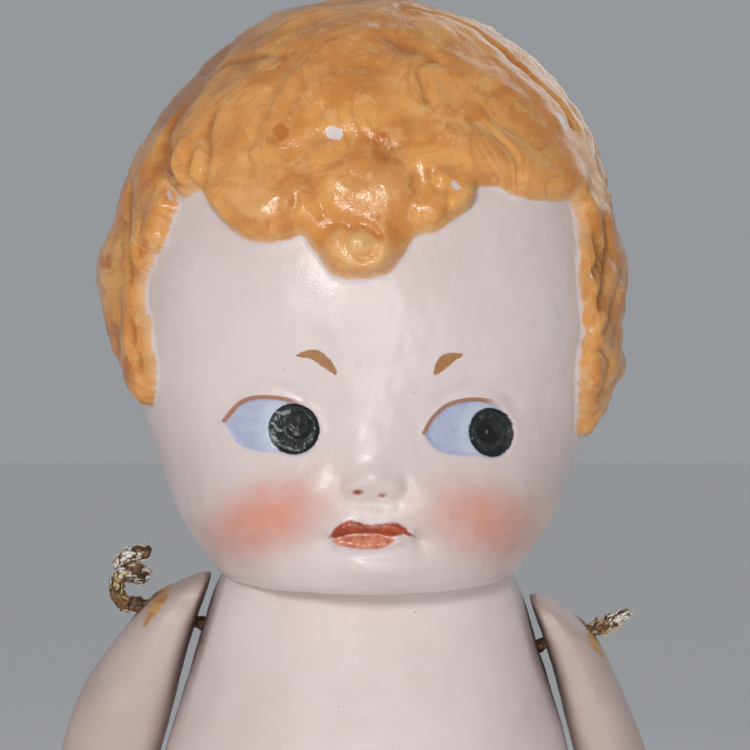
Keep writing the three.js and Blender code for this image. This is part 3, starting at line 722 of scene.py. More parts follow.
CHEST_MOUNDS = [
    (-6.2, 85.5, 5, 4, 0.35), (6.2, 85.5, 5, 4, 0.35),
    (0.2, 65, 1, 0.9, -0.9), (0.2, 65.2, 2.6, 2.2, -0.35),  # navel
    (-9.5, 56, 3, 3, -0.3), (9.5, 56, 3, 3, -0.3),
]
BACK_MOUNDS = [
    (-6.4, 86, 3.6, 4.6, 0.6), (6.4, 86, 3.6, 4.6, 0.6),  # shoulder blades
    (-6, 55, 4.8, 5, 0.8), (6, 55, 4.8, 5, 0.8),  # buttocks
]
BACK_LINES = [
    ([(0, 93), (0.1, 84), (0, 74), (0, 66)], 1.6, -0.45),  # spine
    ([(0, 59.5), (0, 55), (0, 50), (0, 45)], 0.85, -1.5),
    ([(-3.4, 60.4), (0, 58.9), (3.4, 60.4)], 0.8, -0.3),
]
# How far rust, with painted shade of the narrow gap, creeps from each hole over the faces that rub against
# each other.
RUST_AND_SHADE_REACH = {"left_shoulder": 4.6, "right_shoulder": 5.4, "left_hip": 2.6, "right_hip": 2.6}
# The head's paints, which are nowhere on the torso.
HEAD_VALUES = (
    "hair", "eye", "iris", "pupil", "lash", "flake", "nostril", "brow",
    "upper_lip", "lower_lip", "bare", "dab",
)


def hip_recess(side):
    """Cutters for what a thigh sweeps, from a little behind upright to straight ahead."""
    inner, outer = side * HIP_HALF, side * 30.0
    tools = [bar((inner, 0, HIP_Z), (outer, 0, HIP_Z), HIP_CUT_RADIUS, 96)]
    half = [abs(outer - inner) / 2, HIP_CUT_RADIUS, THIGH_SWEEP / 2]
    x, y, z = (np.array(BOX_CORNERS) * half + [(inner + outer) / 2, 0, -THIGH_SWEEP / 2]).T
    for swing in (0, -90, HIP_BACK_SWING):
        s, c = math.sin(math.radians(swing)), math.cos(math.radians(swing))
        placed = np.stack([x, y * c - z * s, y * s + z * c + HIP_Z], -1)
        tools.append(make_mesh("block", placed, BOX_FACES))
    return tools


def make_torso():
    rows = spline(TORSO_ROWS, 9)
    angle = np.arange(TORSO_AROUND) / TORSO_AROUND * TURN
    z, half, front, back, power = columns(rows)
    c, s = np.cos(angle), np.sin(angle)
    depth = np.where(s < 0, front, back)
    radius = ((np.abs(c) / half) ** power + (np.abs(s) / depth) ** power) ** (-1 / power)
    points = np.stack([radius * c, radius * s, z + 0 * radius], -1).reshape(-1, 3)
    torso = make_mesh("torso_shell", with_ends(points, TORSO_AROUND), tube_faces(len(rows), TORSO_AROUND))
    for tool in hip_recess(-1) + hip_recess(1):
        cut(torso, tool)
    apply_modifier(torso, "REMESH", mode="VOXEL", voxel_size=TORSO_VOXEL * MM, use_smooth_shade=True)
    apply_modifier(torso, "SMOOTH", factor=0.5, iterations=6)
    round_hips(torso)
    sculpt_torso(torso)
    for joint in ("left_shoulder", "right_shoulder"):
        hole, way = joint_point(joint), side_way(joint)
        cut(torso, bar(hole - 7 * way, hole + 2 * way, BORE))
    cut(torso, bar((-HIP_HALF - 2, 0, HIP_Z), (HIP_HALF + 2, 0, HIP_Z), BORE))
    return torso


def round_hips(torso):
    """Rounds the edges of the hip recesses, as the glaze and the mould leave them."""
    near = smoothstep(-points_of(torso)[:, 2], -60.0, -56.0)
    group = torso.vertex_groups.new(name="hips")
    for index in np.nonzero(near > 0)[0].tolist():
        group.add([index], float(near[index]), "REPLACE")
    apply_modifier(torso, "SMOOTH", factor=0.5, iterations=22, vertex_group="hips")
    torso.vertex_groups.clear()


def sculpt_torso(torso):
    points = points_of(torso)
    normals = np.array([v.normal for v in torso.data.vertices])
    flat = points[:, [0, 2]]
    ahead, behind = [smoothstep(way * normals[:, 1], 0.1, 0.5) for way in (-1, 1)]
    out = ahead * mounds_at(flat, CHEST_MOUNDS)
    out += behind * (mounds_at(flat, BACK_MOUNDS) + lines_at(flat, BACK_LINES))
    out += 0.05 * bell(points[:, 1], 0.35) * (points[:, 2] > 60)  # the mould's seam
    out += 0.05 * ripple(points, 9.0, 41) + 0.02 * ripple(points, 3.0, 42)
    points += normals * out[:, None]
    torso.data.vertices.foreach_set("co", (points * MM).astype(np.float32).ravel())
    torso.data.update()


def rust_and_shade_at(points):
    """Rust rubbed into the faces round the wires' holes and into the holes' mouths, with painted shade of the
    gap where those faces meet, 0 to 1.
    """
    rust_and_shade = np.zeros(len(points))
    for joint, reach in RUST_AND_SHADE_REACH.items():
        away = points - joint_point(joint)
        out = away @ side_way(joint)
        radial = np.linalg.norm(away - out[:, None] * side_way(joint), axis=1)
        # rust and painted shade on the faces that touch across the narrow gap
        rust_and_shade_between_faces = smoothstep(-np.abs(out), -1.0, -0.6) * bell(radial, reach)
        mouth = smoothstep(-np.abs(out), -9.0, -7.0) * smoothstep(-radial, -1.7, -1.0)
        rust_and_shade = np.maximum(rust_and_shade, np.maximum(rust_and_shade_between_faces, mouth))
    return rust_and_shade


def make_casting():
    """The head and the torso, joined into the one hollow casting that they are."""
    head, torso = make_head(), make_torso()
    for key in HEAD_VALUES:
        store(torso, key, NOWHERE)
    for key in ("relief", "blush"):
        store(torso, key, 0.0)
    store(torso, "dull", 1.0)
    store(torso, "rust_and_shade", rust_and_shade_at(points_of(torso)))
    cut(head, torso, "UNION")
    head.name = "doll_head_and_torso"
    return head


# ---------------------------------------------------------------- arms

# Rows down an arm, in its shoulder's frame: distance down, how far forward the middle is, how far the inner
# face stands off ARM_GAP, thickness of the left arm, of the fuller right arm, half-depth.
ARM_ROWS = [
    (-3.72, 0, 0.1, 0.5, 0.5, 1.2), (-3.4, 0, 0.05, 1.15, 1.15, 2.2), (-2.75, 0, 0.05, 1.95, 1.95, 2.95),
    (-2, 0, 0.1, 2.5, 2.8, 3.2), (-1.1, 0, 0.15, 3.1, 3.6, 3.6), (0.3, 0, 0.2, 3.75, 4.35, 3.85),
    (3, 0, 0.2, 4.3, 5.5, 4.05), (7, 0, 0.05, 5, 6.9, 4.15), (11, 0, 0, 5.3, 7.4, 4.15),
    (14.5, 0.4, 0, 5.3, 7.1, 4), (18, 1.8, 0.1, 5, 6.2, 3.6), (21.5, 3.8, 0.3, 4.4, 5.1, 3.1),
    (24.2, 5.5, 0.6, 3.6, 3.9, 2.6), (26.6, 7.1, 0.6, 3.6, 3.7, 3.1), (29.2, 8.8, 0.6, 3.2, 3.2, 3.4),
    (31.4, 10.2, 0.7, 2.5, 2.5, 2.8), (32.7, 11, 1, 1.3, 1.3, 1.5),
]
ARM_GAP = 0.4
ARM_AROUND = 128
ARM_HANG = {"left": 7.9, "right": 7.1}  # degrees that the bent elbow makes each arm hang at
INNER_FACE, OUTER_FACE = 6.0, 1.8  # roundness of the face against the torso, and of the other one
ELBOW, WRIST, KNUCKLES = 17.6, 24.1, 27.4  # distances down the arm
FINGERS = (-1.55, -0.1, 1.3)  # grooves between the fingers, across the hand
# Rust that ran down the outside of each arm from the wire: the stroke and its half-width.
RUST_RUNS = {
    "left": ([(17, 91.6), (17.4, 90.4), (17.9, 89.5)], 0.35),
    "right": ([(-15.5, 94.6), (-16, 93.6), (-16.4, 92.8), (-16.8, 92.1)], 0.5),
}


def shoulder_at(side_name, places):
    """Places given out of the torso, down its side and forward from the shoulder's hole."""
    joint = side_name + "_shoulder"
    out = side_way(joint)
    down = [out[2] * np.sign(out[0]), 0, -abs(out[0])]
    return joint_point(joint) + np.asarray(places, float) @ np.array([out, down, [0, -1.0, 0]])


def make_arm(side_name):
    rows = spline(ARM_ROWS, 12)
    v, w, u0, left_thick, right_thick, depth = columns(rows)
    side, thick = (1, left_thick) if side_name == "left" else (-1, right_thick)
    slope = np.arctan2(np.gradient(rows[:, 1]), np.gradient(rows[:, 0]))[:, None]
    angle = -side * np.arange(ARM_AROUND)[None] / ARM_AROUND * TURN
    c, d = np.cos(angle), np.sin(angle)
    u = u0 + thick / 2 * (1 + signed_power(c, 2 / np.where(c < 0, INNER_FACE, OUTER_FACE)))
    across = depth * signed_power(d, 2 / 2.3)
    grid = np.stack([u, v - across * np.sin(slope), w + across * np.cos(slope)], -1)
    local, normals = surface_of(grid, np.stack([u0 + thick / 2, v, w], -1))
    out = sculpt_arm(local, normals, np.broadcast_to(v, u.shape).ravel(), across.ravel())
    local = with_ends(local + normals * out[:, None], ARM_AROUND)
    hang = math.radians(ARM_HANG[side_name])
    down = local[:, 1] * math.cos(hang) + local[:, 2] * math.sin(hang)
    ahead = local[:, 2] * math.cos(hang) - local[:, 1] * math.sin(hang)
    points = shoulder_at(side_name, np.stack([ARM_GAP + local[:, 0], down, ahead], -1))
    line, width = RUST_RUNS[side_name]
    faded = 0.35 * smoothstep(-points[:, 2], -line[1][1], -line[-1][1])
    run = width - faded - drawn_distance(points[:, [0, 2]], line)
    values = {"stain": np.where(points[:, 1] < 1, run, NOWHERE), "rust_and_shade": rust_and_shade_at(points)}
    arm = make_mesh("doll_" + side_name + "_arm", points, tube_faces(len(rows), ARM_AROUND), values)
    cut(arm, bar(*shoulder_at(side_name, [(-1.5, 0, 0), (13, 0, 0)]), BORE))
    return arm


def sculpt_arm(local, normals, along, across):
    """The relief of an arm: elbow, wrist, fingers and thumb."""
    outer = smoothstep(normals[:, 0], -0.2, 0.5)
    front, back = [smoothstep(way * normals[:, 2], 0.0, 0.6) for way in (1, -1)]
    out = -0.45 * bell(along - ELBOW, 1.1) * front + 0.35 * bell(along - ELBOW - 0.9, 1.8) * back
    out -= 0.3 * bell(along - WRIST, 0.45)
    hand = smoothstep(along, KNUCKLES + 0.2, KNUCKLES + 2.0)
    for groove in FINGERS:
        out -= 0.42 * hand * bell(across - groove, 0.26)
    out += 0.12 * bell(along - KNUCKLES, 0.5) * outer * np.cos((across + 0.8) * TURN / 1.45)
    thumb = bell(across - 2.3 + (along - KNUCKLES - 0.2) * 0.1, 0.75) * bell(along - KNUCKLES, 1.9)
    out += 0.75 * thumb * smoothstep(-normals[:, 0], -0.6, 0.3)
    return out + 0.05 * ripple(local, 5.0, 51) * outer + 0.015 * ripple(local, 1.6, 52)


# ---------------------------------------------------------------- legs

# Rows down a leg: height, middle across, middle forward of the wire, half-width, half-depth.
LEG_ROWS = [
    (53.75, 10.6, 0, 2, 2), (52.4, 10.7, 0, 3.9, 4.3), (50.4, 10.9, 0, 4.9, 5.9), (47.5, 11, 0, 5.4, 6.8),
    (43, 11, 0, 5.4, 6.9), (38, 10.7, 0.1, 5.3, 6.8), (33, 10.1, 0.2, 5.2, 6.4), (28.5, 9.4, 0.3, 4.9, 5.7),
    (25.5, 8.9, 0.3, 4.75, 5.4), (21.5, 8.5, 0, 4.8, 5.5), (16.5, 8.1, -0.3, 4.8, 5.5),
    (11.5, 7.8, -0.4, 4.4, 4.9), (8.2, 7.6, -0.1, 4.1, 4.6), (6, 7.5, 0.7, 4.2, 5.3),
    (4.4, 7.5, 1.6, 4.4, 6.5), (2.8, 7.5, 2.2, 4.6, 7.6), (1.2, 7.5, 2.4, 4.7, 8),
    (0.3, 7.5, 2.4, 4.55, 7.8), (0, 7.5, 2.4, 4.2, 7.4), (0, 7.5, 2.4, 2, 3.6),
]
LEG_AROUND = 144
FLAT_THIGH_Z = 35.0  # above this the thigh's inner face is flat against the crotch block
HIP_GAP, LEG_GAP = 0.4, 1.0
THIGH_TOP = (10.6, 0, HIP_Z + 7.0)
TOE_GROOVES = (-1.35, 0.35, 1.75, 3.05)  # across the foot, from the big toe's side
TOE_TIP = 9.9  # how far in front of the wire the toes end
KNEE, ANKLE = 26.0, 8.6


def make_leg(side_name):
    side = 1 if side_name == "left" else -1
    rows = spline(LEG_ROWS, 9)
    rows[:, 0] = np.maximum(rows[:, 0], 0)
    z, x, forward, half, depth = columns(rows)
    angle = np.arange(LEG_AROUND)[None] / LEG_AROUND * TURN
    across = half * signed_power(np.cos(angle), 2 / 2.4)
    ahead = forward - depth * signed_power(np.sin(angle), 2 / 2.2)
    tucked = smoothstep(z, FLAT_THIGH_Z - 14, FLAT_THIGH_Z)
    inside = LEG_GAP / 2 + (HIP_HALF + HIP_GAP - LEG_GAP / 2) * tucked
    grid = np.stack([np.maximum(x + across, inside), -ahead, z + 0 * across], -1)
    points, normals = surface_of(grid, np.stack([x, -forward, z], -1))
    points = points + normals * sculpt_leg(points, normals, across.ravel())[:, None]
    points[:, 2] = np.maximum(points[:, 2], 0)
    points = with_ends(points, LEG_AROUND)
    points[-2] = THIGH_TOP
    points *= [side, 1, 1]
    faces = tube_faces(len(rows), LEG_AROUND)
    values = {"stain": NOWHERE, "rust_and_shade": rust_and_shade_at(points)}
    leg = make_mesh("doll_" + side_name + "_leg", points, faces if side > 0 else flipped(faces), values)
    cut(leg, bar((side * 3.0, 0, HIP_Z), (side * 20.0, 0, HIP_Z), BORE))
    return leg


def sculpt_leg(points, normals, across):
    """The relief of a leg: knee, its creases, ankle and toes."""
    z = points[:, 2]
    front, back = [smoothstep(way * normals[:, 1], 0.0, 0.6) for way in (-1, 1)]
    out = 0.3 * front * bell(z - KNEE, 2.4) * bell(across, 2.6)
    creases = bell(z - KNEE + 3.4, 0.9) + 0.7 * bell(z - KNEE - 3.4, 1.0)
    out -= 0.22 * front * bell(across, 3.2) * creases
    out -= 0.45 * back * bell(z - KNEE - 0.05 * across**2, 0.6)
    out -= 0.3 * bell(z - ANKLE, 0.8) * (1 - 0.5 * back)
    toes = smoothstep(-points[:, 1], TOE_TIP - 3.4, TOE_TIP - 1.0) * smoothstep(-z, -4.6, -3.2)
    for groove in TOE_GROOVES:
        out -= 0.6 * toes * bell(across - groove, 0.3)
    out -= 0.35 * smoothstep(-points[:, 1], TOE_TIP - 2.6, TOE_TIP - 1.4) * bell(z - 3.3, 0.5)
    grain = 0.05 * ripple(points, 6.0, 61) + 0.015 * ripple(points, 2.0, 62)
    return out + grain * smoothstep(z, 0.5, 2.0)


# ---------------------------------------------------------------- wires

WIRE_RADIUS = 0.5
WIRE_SIDES = 20
WIRE_STEP = 0.09
CRUST = [(0.1, 1.3), (0.05, 0.6), (0.03, 0.25)]  # depths of the rust's roughness, and their sizes
# The small eye at each end of the hip wire: radius, degrees that it turns, where it starts.
EYE_RADIUS, EYE_TURN, EYE_LEAD = 1.15, 300, 17.35
# The curled end of the shoulder wire, from its tip down to where it leaves the right arm.
PIGTAIL = [
    (-16.6, 0.1, 97.8), (-17.05, 0, 97.45), (-17.75, 0, 97.35), (-18.5, 0.3, 97), (-19, 0.8, 96.4),
    (-18.65, 1.4, 95.8), (-18, 1.4, 95.55), (-17.35, 1, 95.5), (-17.3, 0.35, 95.85), (-17.7, -0.2, 96.15),
    (-18.25, -0.3, 96.05), (-18.95, 0, 95.5), (-19.2, 0.2, 94.7), (-18.95, 0.2, 93.9), (-18.4, 0.1, 93.45),
]
# Thin plates of loose rust: how many on each millimetre of wire, lengths, widths and thickness.
FLAKES_PER_MM = 20
FLAKE_LONG, FLAKE_WIDE, FLAKE_THICK = (0.35, 1.0), (0.18, 0.42), 0.05
# How far from a wire's first and last tip the flakes are still silver, and where they no longer are.
SILVER = [(6.5, 10.0), (1.0, 3.0)]
# A thin strand frayed from the stub on the left: out along the wire, down and forward.
FRAYED = [(4.9, 0.85, 0.35), (5.6, 0.62, 0.4), (6.3, 0.38, 0.4), (6.9, 0.05, 0.3)]
FILAMENT_RADIUS, FILAMENT_SIDES, FILAMENT_STEP, FILAMENT_TONE = 0.07, 8, 0.12, 0.62


def shoulder_wire_path():
    right = shoulder_at("right", [(out, 0, 0) for out in (5.1, 3.4, 1.2, -1.2, -3.4)])
    left = shoulder_at("left", [(out, 0, 0) for out in (-3.4, -1.2, 1.2, 3.4, 4.8)] + [(7.4, -0.45, 0)])
    sag = (0, 0, 87.2)  # between the two holes
    return np.vstack([PIGTAIL, right, sag, left])


def hip_wire_path():
    share = np.linspace(0, 1, 10)
    angle = np.radians(share * EYE_TURN)
    drop = EYE_RADIUS * (1 - np.cos(angle)) + 0.9
    eye = np.stack([EYE_LEAD + 0.3 * share, EYE_RADIUS * np.sin(angle) + 0.6, HIP_Z - drop], -1)
    straight = [(x, 0, HIP_Z) for x in (-16.9, -15.5, -12, -8, -4, 0, 4, 8, 12, 15.5, 16.9)]
    return np.vstack([eye[::-1] * [-1, 1, 1], straight, eye])


def along_path(path, step, sides):
    """Evenly spaced points along the path, their distances, tangents, and `sides` ways square to them."""
    fine = spline(path, 24)
    travelled = np.concatenate([[0], np.cumsum(np.linalg.norm(np.diff(fine, axis=0), axis=1))])
    at = np.linspace(0, travelled[-1], int(travelled[-1] / step))
    line = np.stack([np.interp(at, travelled, column) for column in fine.T], -1)
    tangent = np.gradient(line, axis=0)
    tangent /= np.linalg.norm(tangent, axis=1)[:, None]
    first = np.empty_like(line)
    way = np.array([0, 1.0, 0.2])
    for k, forward in enumerate(tangent):
        way = way - forward * (way @ forward)
        way /= np.linalg.norm(way)
        first[k] = way
    second = np.cross(tangent, first)
    turn = np.arange(sides)[:, None] / sides * TURN
    ways = first[:, None] * np.cos(turn) + second[:, None] * np.sin(turn)
    return line, at, tangent, ways


def tube(line, ways, reach):
    """Points and faces of a closed tube round a line."""
    points = (line[:, None] + ways * reach).reshape(-1, 3)
    return np.vstack([points, line[0], line[-1]]), flipped(tube_faces(len(line), ways.shape[1]))


def flake(rng, middle, tangent, outward):
    """One thin plate standing off the wire, as eight corners."""
    long_way = tangent + rng.normal(size=3) * 0.35 + outward * rng.uniform(-0.1, 0.45)
    long_way /= np.linalg.norm(long_way)
    wide_way = np.cross(outward, long_way)
    wide_way /= np.linalg.norm(wide_way)
    half = np.array([rng.uniform(*FLAKE_LONG), rng.uniform(*FLAKE_WIDE), FLAKE_THICK]) / 2
    corners = np.array(BOX_CORNERS)
    corners[:, 1] *= 1 - 0.5 * (corners[:, 0] > 0) * rng.uniform(0, 1)
    return middle + (corners * half) @ np.array([long_way, wide_way, np.cross(long_way, wide_way)])


def joined(name, parts):
    """One mesh from several, each given as points, faces and tone."""
    starts = np.cumsum([0] + [len(points) for points, _, _ in parts]).tolist()
    faces = [
        tuple(start + corner for corner in face)
        for start, (_, some, _) in zip(starts, parts) for face in some
    ]
    tones = np.concatenate([np.full(len(points), tone) for points, _, tone in parts])
    return make_mesh(name, np.vstack([points for points, _, _ in parts]), faces, {"tone": tones})


def make_wire(name, path, seed, bare, frayed=None):
    """A crusty wire with flakes of rust on both ends, `bare` millimetres long, and a frayed strand."""
    line, at, tangent, ways = along_path(path, WIRE_STEP, WIRE_SIDES)
    base = (line[:, None] + ways * WIRE_RADIUS).reshape(-1, 3)
    crust = sum(depth * ripple(base, size, seed + k) for k, (depth, size) in enumerate(CRUST))
    taper = 0.55 + 0.45 * smoothstep(np.minimum(at, at[-1] - at), 0.0, 0.8)
    reach = (WIRE_RADIUS + crust.reshape(len(line), -1).clip(-0.2, 0.12)) * taper[:, None]
    parts = [(*tube(line, ways, reach[..., None]), 0.0)]
    rng = np.random.default_rng(seed)
    first, second = ways[:, 0], ways[:, WIRE_SIDES // 4]  # a quarter turn apart
    for end in (0, 1):
        for _ in range(round(bare[end] * FLAKES_PER_MM)):
            run = rng.uniform(0.1, bare[end])
            k = np.searchsorted(at, at[-1] - run if end else run)
            angle = rng.uniform(0, TURN)
            outward = first[k] * math.cos(angle) + second[k] * math.sin(angle)
            middle = line[k] + outward * (WIRE_RADIUS + rng.uniform(-0.05, 0.1)) * taper[k]
            plate = flake(rng, middle, tangent[k], outward)
            silver = 0.5 * (1 - smoothstep(run, *SILVER[end]))
            parts.append((plate, BOX_FACES, np.clip(rng.uniform(0.1, 0.7) + silver, 0, 1)))
    if frayed is not None:
        strand, _, _, square = along_path(frayed, FILAMENT_STEP, FILAMENT_SIDES)
        parts.append((*tube(strand, square, FILAMENT_RADIUS), FILAMENT_TONE))
    return joined(name, parts)


# ---------------------------------------------------------------- materials

def colour(red, green, blue):
    """A colour given as it looks on a screen, 0 to 255, turned into the linear one that shaders use."""
    linear = [((c / 255 + 0.055) / 1.055) ** 2.4 if c > 10 else c / 255 / 12.92 for c in (red, green, blue)]
    return (*linear, 1.0)


class Shader:
    """A material's node tree, with one short call for each kind of node.

    An input is a socket, a number, a colour as (red, green, blue) on a screen, or the name of a value that
    the mesh carries.
    """

    def __init__(self, name):
        self.material = bpy.data.materials.new(name)
        self.material.use_nodes = True
        self.nodes = self.material.node_tree.nodes
        self.links = self.material.node_tree.links
        self.surface = self.nodes["Principled BSDF"]
        self.place = self.nodes.new("ShaderNodeTexCoord").outputs["Object"]

    def put(self, socket, value):
        if isinstance(value, str):
            value = self.carried(value, "Fac")
        if isinstance(value, bpy.types.NodeSocket):
            self.links.new(value, socket)
        else:
            socket.default_value = colour(*value) if isinstance(value, tuple) else value

    def carried(self, name, output):
        node = self.nodes.new("ShaderNodeAttribute")
        node.attribute_name = name
        return node.outputs[output]

    def math(self, operation, *values, clamp=False):
        node = self.nodes.new("ShaderNodeMath")
        node.operation = operation
        node.use_clamp = clamp
        for socket, value in zip(node.inputs, values):
            self.put(socket, value)
        return node.outputs[0]

    def times(self, first, second, clamp=False):
        return self.math("MULTIPLY", first, second, clamp=clamp)

    def most(self, first, *others):
        for other in others:
            first = self.math("MAXIMUM", first, other)
        return first

    def noise(self, size, detail=3.0, roughness=0.55, distortion=0.0):
        """Noise from 0 to 1 with features about `size` millimetres across."""
        return self.noise_at(self.place, size * MM, detail, roughness, distortion)

    def noise_at(self, where, size, detail, roughness, distortion):
        node = self.nodes.new("ShaderNodeTexNoise")
        self.links.new(where, node.inputs["Vector"])
        settings = {"Scale": 1 / size, "Detail": detail, "Roughness": roughness, "Distortion": distortion}
        for name, value in settings.items():
            node.inputs[name].default_value = value
        return node.outputs["Fac"]

    def ramp(self, value, low, high):
        """0 below low, 1 above high and smooth between."""
        node = self.nodes.new("ShaderNodeMapRange")
        node.interpolation_type = "SMOOTHSTEP"
        self.put(node.inputs["Value"], value)
        self.put(node.inputs["From Min"], low)
        self.put(node.inputs["From Max"], high)
        return node.outputs["Result"]

    def span(self, value, low, high):
        """A value from 0 to 1, spread from low to high."""
        return self.math("MULTIPLY_ADD", value, high - low, low)

    def painted(self, name, soft, wobble, grain):
        """Where a paint covers, from its distance on the mesh, with the uneven edge that a brush leaves."""
        uneven = self.math("MULTIPLY_ADD", self.noise(grain), 2 * wobble, -wobble)
        return self.ramp(self.math("ADD", name, uneven), -soft, soft)

    def over(self, base, paint, cover, strength=None):
        """A paint laid over a base where it covers, thinned to a strength."""
        node = self.nodes.new("ShaderNodeMix")
        node.data_type = "RGBA"
        self.put(node.inputs["Factor"], cover if strength is None else self.times(cover, strength))
        self.put(node.inputs[6], base)
        self.put(node.inputs[7], paint)
        return node.outputs[2]

    def bump(self, height, distance, normal=None):
        node = self.nodes.new("ShaderNodeBump")
        node.inputs["Strength"].default_value = 1.0
        node.inputs["Distance"].default_value = distance * MM
        self.put(node.inputs["Height"], height)
        if normal is not None:
            self.put(node.inputs["Normal"], normal)
        return node.outputs["Normal"]

    def finish(self, **inputs):
        for name, value in inputs.items():
            self.put(self.surface.inputs[name.replace("_", " ").title()], value)
        return self.material


TORSO_TINTS = ((226, 211, 209), (212, 190, 184))
# The arms' and legs' bisque: browner than the torso's, and darkened further with painted shade.
SHADED_LIMB_TINTS = ((196, 176, 170), (184, 160, 152))
PORCELAIN = {"subsurface_weight": 0.12, "subsurface_scale": 0.002}


def bisque_colour(shader, tints):
    """Unglazed pink porcelain: a faint uneven tint, with fine dark specks of the kiln."""
    tint = shader.ramp(shader.noise(9.0, 4.0), 0.35, 0.75)
    base = shader.over(*tints, shader.span(tint, 0.0, 0.45))
    dirt = shader.ramp(shader.noise(2.6, 6.0, 0.7), 0.62, 0.8)
    base = shader.over(base, (168, 142, 128), shader.span(dirt, 0.0, 0.16))
    specks = shader.ramp(shader.noise(0.55, 1.0), 0.795, 0.83)
    return shader.over(base, (96, 82, 76), shader.span(specks, 0.0, 0.55))


def bisque_bump(shader):
    return shader.bump(shader.noise(1.4, 4.0), 0.02, shader.bump(shader.noise(0.16, 2.0), 0.02))


def rusty_and_shaded(shader, base):
    """The base colour with dark rust rubbed into it, and painted shade where the parts meet."""
    uneven = shader.times("rust_and_shade", shader.span(shader.noise(1.1, 5.0), 0.5, 1.7), clamp=True)
    # dark red-brown: rust, and painted shade of the gaps between the limbs and the torso
    return shader.over(base, (84, 46, 34), uneven, 0.85)


def painted_hair(shader, raised):
    """Thin ochre paint, brushed along the strands, darker in the hollows, with a painted highlight that makes
    the knobs pale.
    """
    strand = shader.carried("strand", "Vector")
    streaks = shader.ramp(shader.noise_at(strand, 0.5, 5.0, 0.65, 0.4), 0.54, 0.7)
    washes = shader.ramp(shader.noise_at(strand, 1.7, 6.0, 0.65, 0.5), 0.5, 0.66)
    patches = shader.noise(4.4, 5.0, 0.6)
    blotches = shader.ramp(shader.noise(1.6, 6.0, 0.68, 0.3), 0.52, 0.66)
    paint = shader.over((232, 166, 92), (214, 140, 68), shader.ramp(patches, 0.4, 0.62))
    paint = shader.over(paint, (192, 114, 46), washes, 0.5)
    paint = shader.over(paint, (174, 100, 40), streaks, 0.36)
    paint = shader.over(paint, (236, 186, 122), blotches, 0.55)
    # painted highlight that lightens the raised knobs
    paint = shader.over(paint, (236, 192, 134), raised, 0.55)
    paint = shader.over(paint, (150, 86, 36), shader.ramp("relief", 0.0, -0.5), 0.6)
    thin = shader.times(shader.ramp("hair", 0.6, 0.0), shader.ramp(patches, 0.42, 0.6))
    paint = shader.over(paint, (238, 202, 160), thin, 0.6)
    return shader.over(paint, (190, 102, 30), shader.painted("dab", 0.16, 0.5, 0.8), 0.75)


def painted_lips(shader, base, upper, lower):
    grain = shader.ramp(shader.noise(0.5, 5.0), 0.35, 0.65)
    base = shader.over(base, shader.over((186, 80, 40), (140, 54, 26), grain), upper)
    return shader.over(base, shader.over((226, 146, 112), (196, 92, 54), grain), lower, 0.92)


def painted_eyes(shader, base, iris):
    """The lilac white, paler beside the iris, the brown lash line and the flaked dark disc with its pupil."""
    white = shader.over((160, 164, 192), (198, 201, 224), shader.noise(0.5, 5.0))
    beside_iris = shader.times(shader.ramp("iris", -1.3, -0.1), shader.noise(0.6, 4.0))
    white = shader.over(white, (214, 220, 228), beside_iris)
    base = shader.over(base, white, shader.painted("eye", 0.1, 0.05, 0.4))
    line = shader.times(shader.ramp("eye", -0.33, -0.26), shader.ramp("eye", 0.06, -0.02))
    base = shader.over(base, (160, 98, 52), shader.times(line, "lash", clamp=True), 0.85)
    grain = shader.ramp(shader.noise(0.4, 5.0, 0.7, 0.6), 0.45, 0.75)
    ring = shader.times(shader.ramp("iris", 0.22, 0.4), shader.ramp("iris", 0.95, 0.6))
    dark = shader.over((22, 26, 27), (84, 94, 92), ring, grain)
    dark = shader.over(dark, (16, 18, 19), shader.painted("pupil", 0.08, 0.1, 0.3))
    dark = shader.over(dark, (142, 152, 150), shader.painted("flake", 0.04, 0.16, 0.22), 0.8)
    return shader.over(base, dark, iris)


def head_material():
    shader = Shader("painted_bisque")
    blush = shader.times("blush", shader.span(shader.noise(2.2, 5.0), 0.45, 1.25), clamp=True)
    base = shader.over(bisque_colour(shader, TORSO_TINTS), (218, 122, 82), blush, 0.8)
    bare = shader.painted("bare", 0.06, 0.12, 0.5)
    hair = shader.times(shader.painted("hair", 0.1, 0.16, 0.7), shader.math("SUBTRACT", 1.0, bare))
    raised = shader.ramp("relief", 0.3, 1.0)
    base = shader.over(base, painted_hair(shader, raised), hair)
    brow = shader.over((190, 142, 92), (146, 88, 44), shader.noise(0.6, 4.0))
    base = shader.over(base, brow, shader.painted("brow", 0.06, 0.1, 0.3))
    upper = shader.painted("upper_lip", 0.1, 0.12, 0.35)
    lower = shader.painted("lower_lip", 0.12, 0.14, 0.35)
    iris = shader.painted("iris", 0.05, 0.07, 0.25)
    base = painted_eyes(shader, painted_lips(shader, base, upper, lower), iris)
    base = shader.over(base, (166, 72, 62), shader.painted("nostril", 0.1, 0.06, 0.3))
    knobs = shader.times(raised, hair)
    roughness = shader.span(shader.noise(1.0, 4.0), 0.24, 0.36)
    for where, change in ((hair, -0.1), (knobs, -0.08), (lower, -0.12), ("dull", 0.18)):
        roughness = shader.math("MULTIPLY_ADD", where, change, roughness)
    crackle = shader.times(shader.most(hair, upper, lower, iris), shader.noise(0.35, 3.0, 0.6))
    dented = shader.times(knobs, shader.noise(1.1, 2.0))
    normal = shader.bump(dented, 0.16, shader.bump(crackle, 0.035, bisque_bump(shader)))
    return shader.finish(base_color=rusty_and_shaded(shader, base), roughness=roughness, normal=normal, **PORCELAIN)


def limb_material():
    shader = Shader("bisque")
    rust = shader.over((206, 156, 80), (180, 114, 36), shader.ramp(shader.noise(0.9, 4.0), 0.42, 0.6))
    stain = shader.painted("stain", 0.22, 0.3, 0.8)
    base = rusty_and_shaded(shader, shader.over(bisque_colour(shader, SHADED_LIMB_TINTS), rust, stain, 0.85))
    gloss = shader.span(shader.noise(1.2, 4.0), 0.38, 0.52)
    return shader.finish(base_color=base, roughness=gloss, normal=bisque_bump(shader), **PORCELAIN)


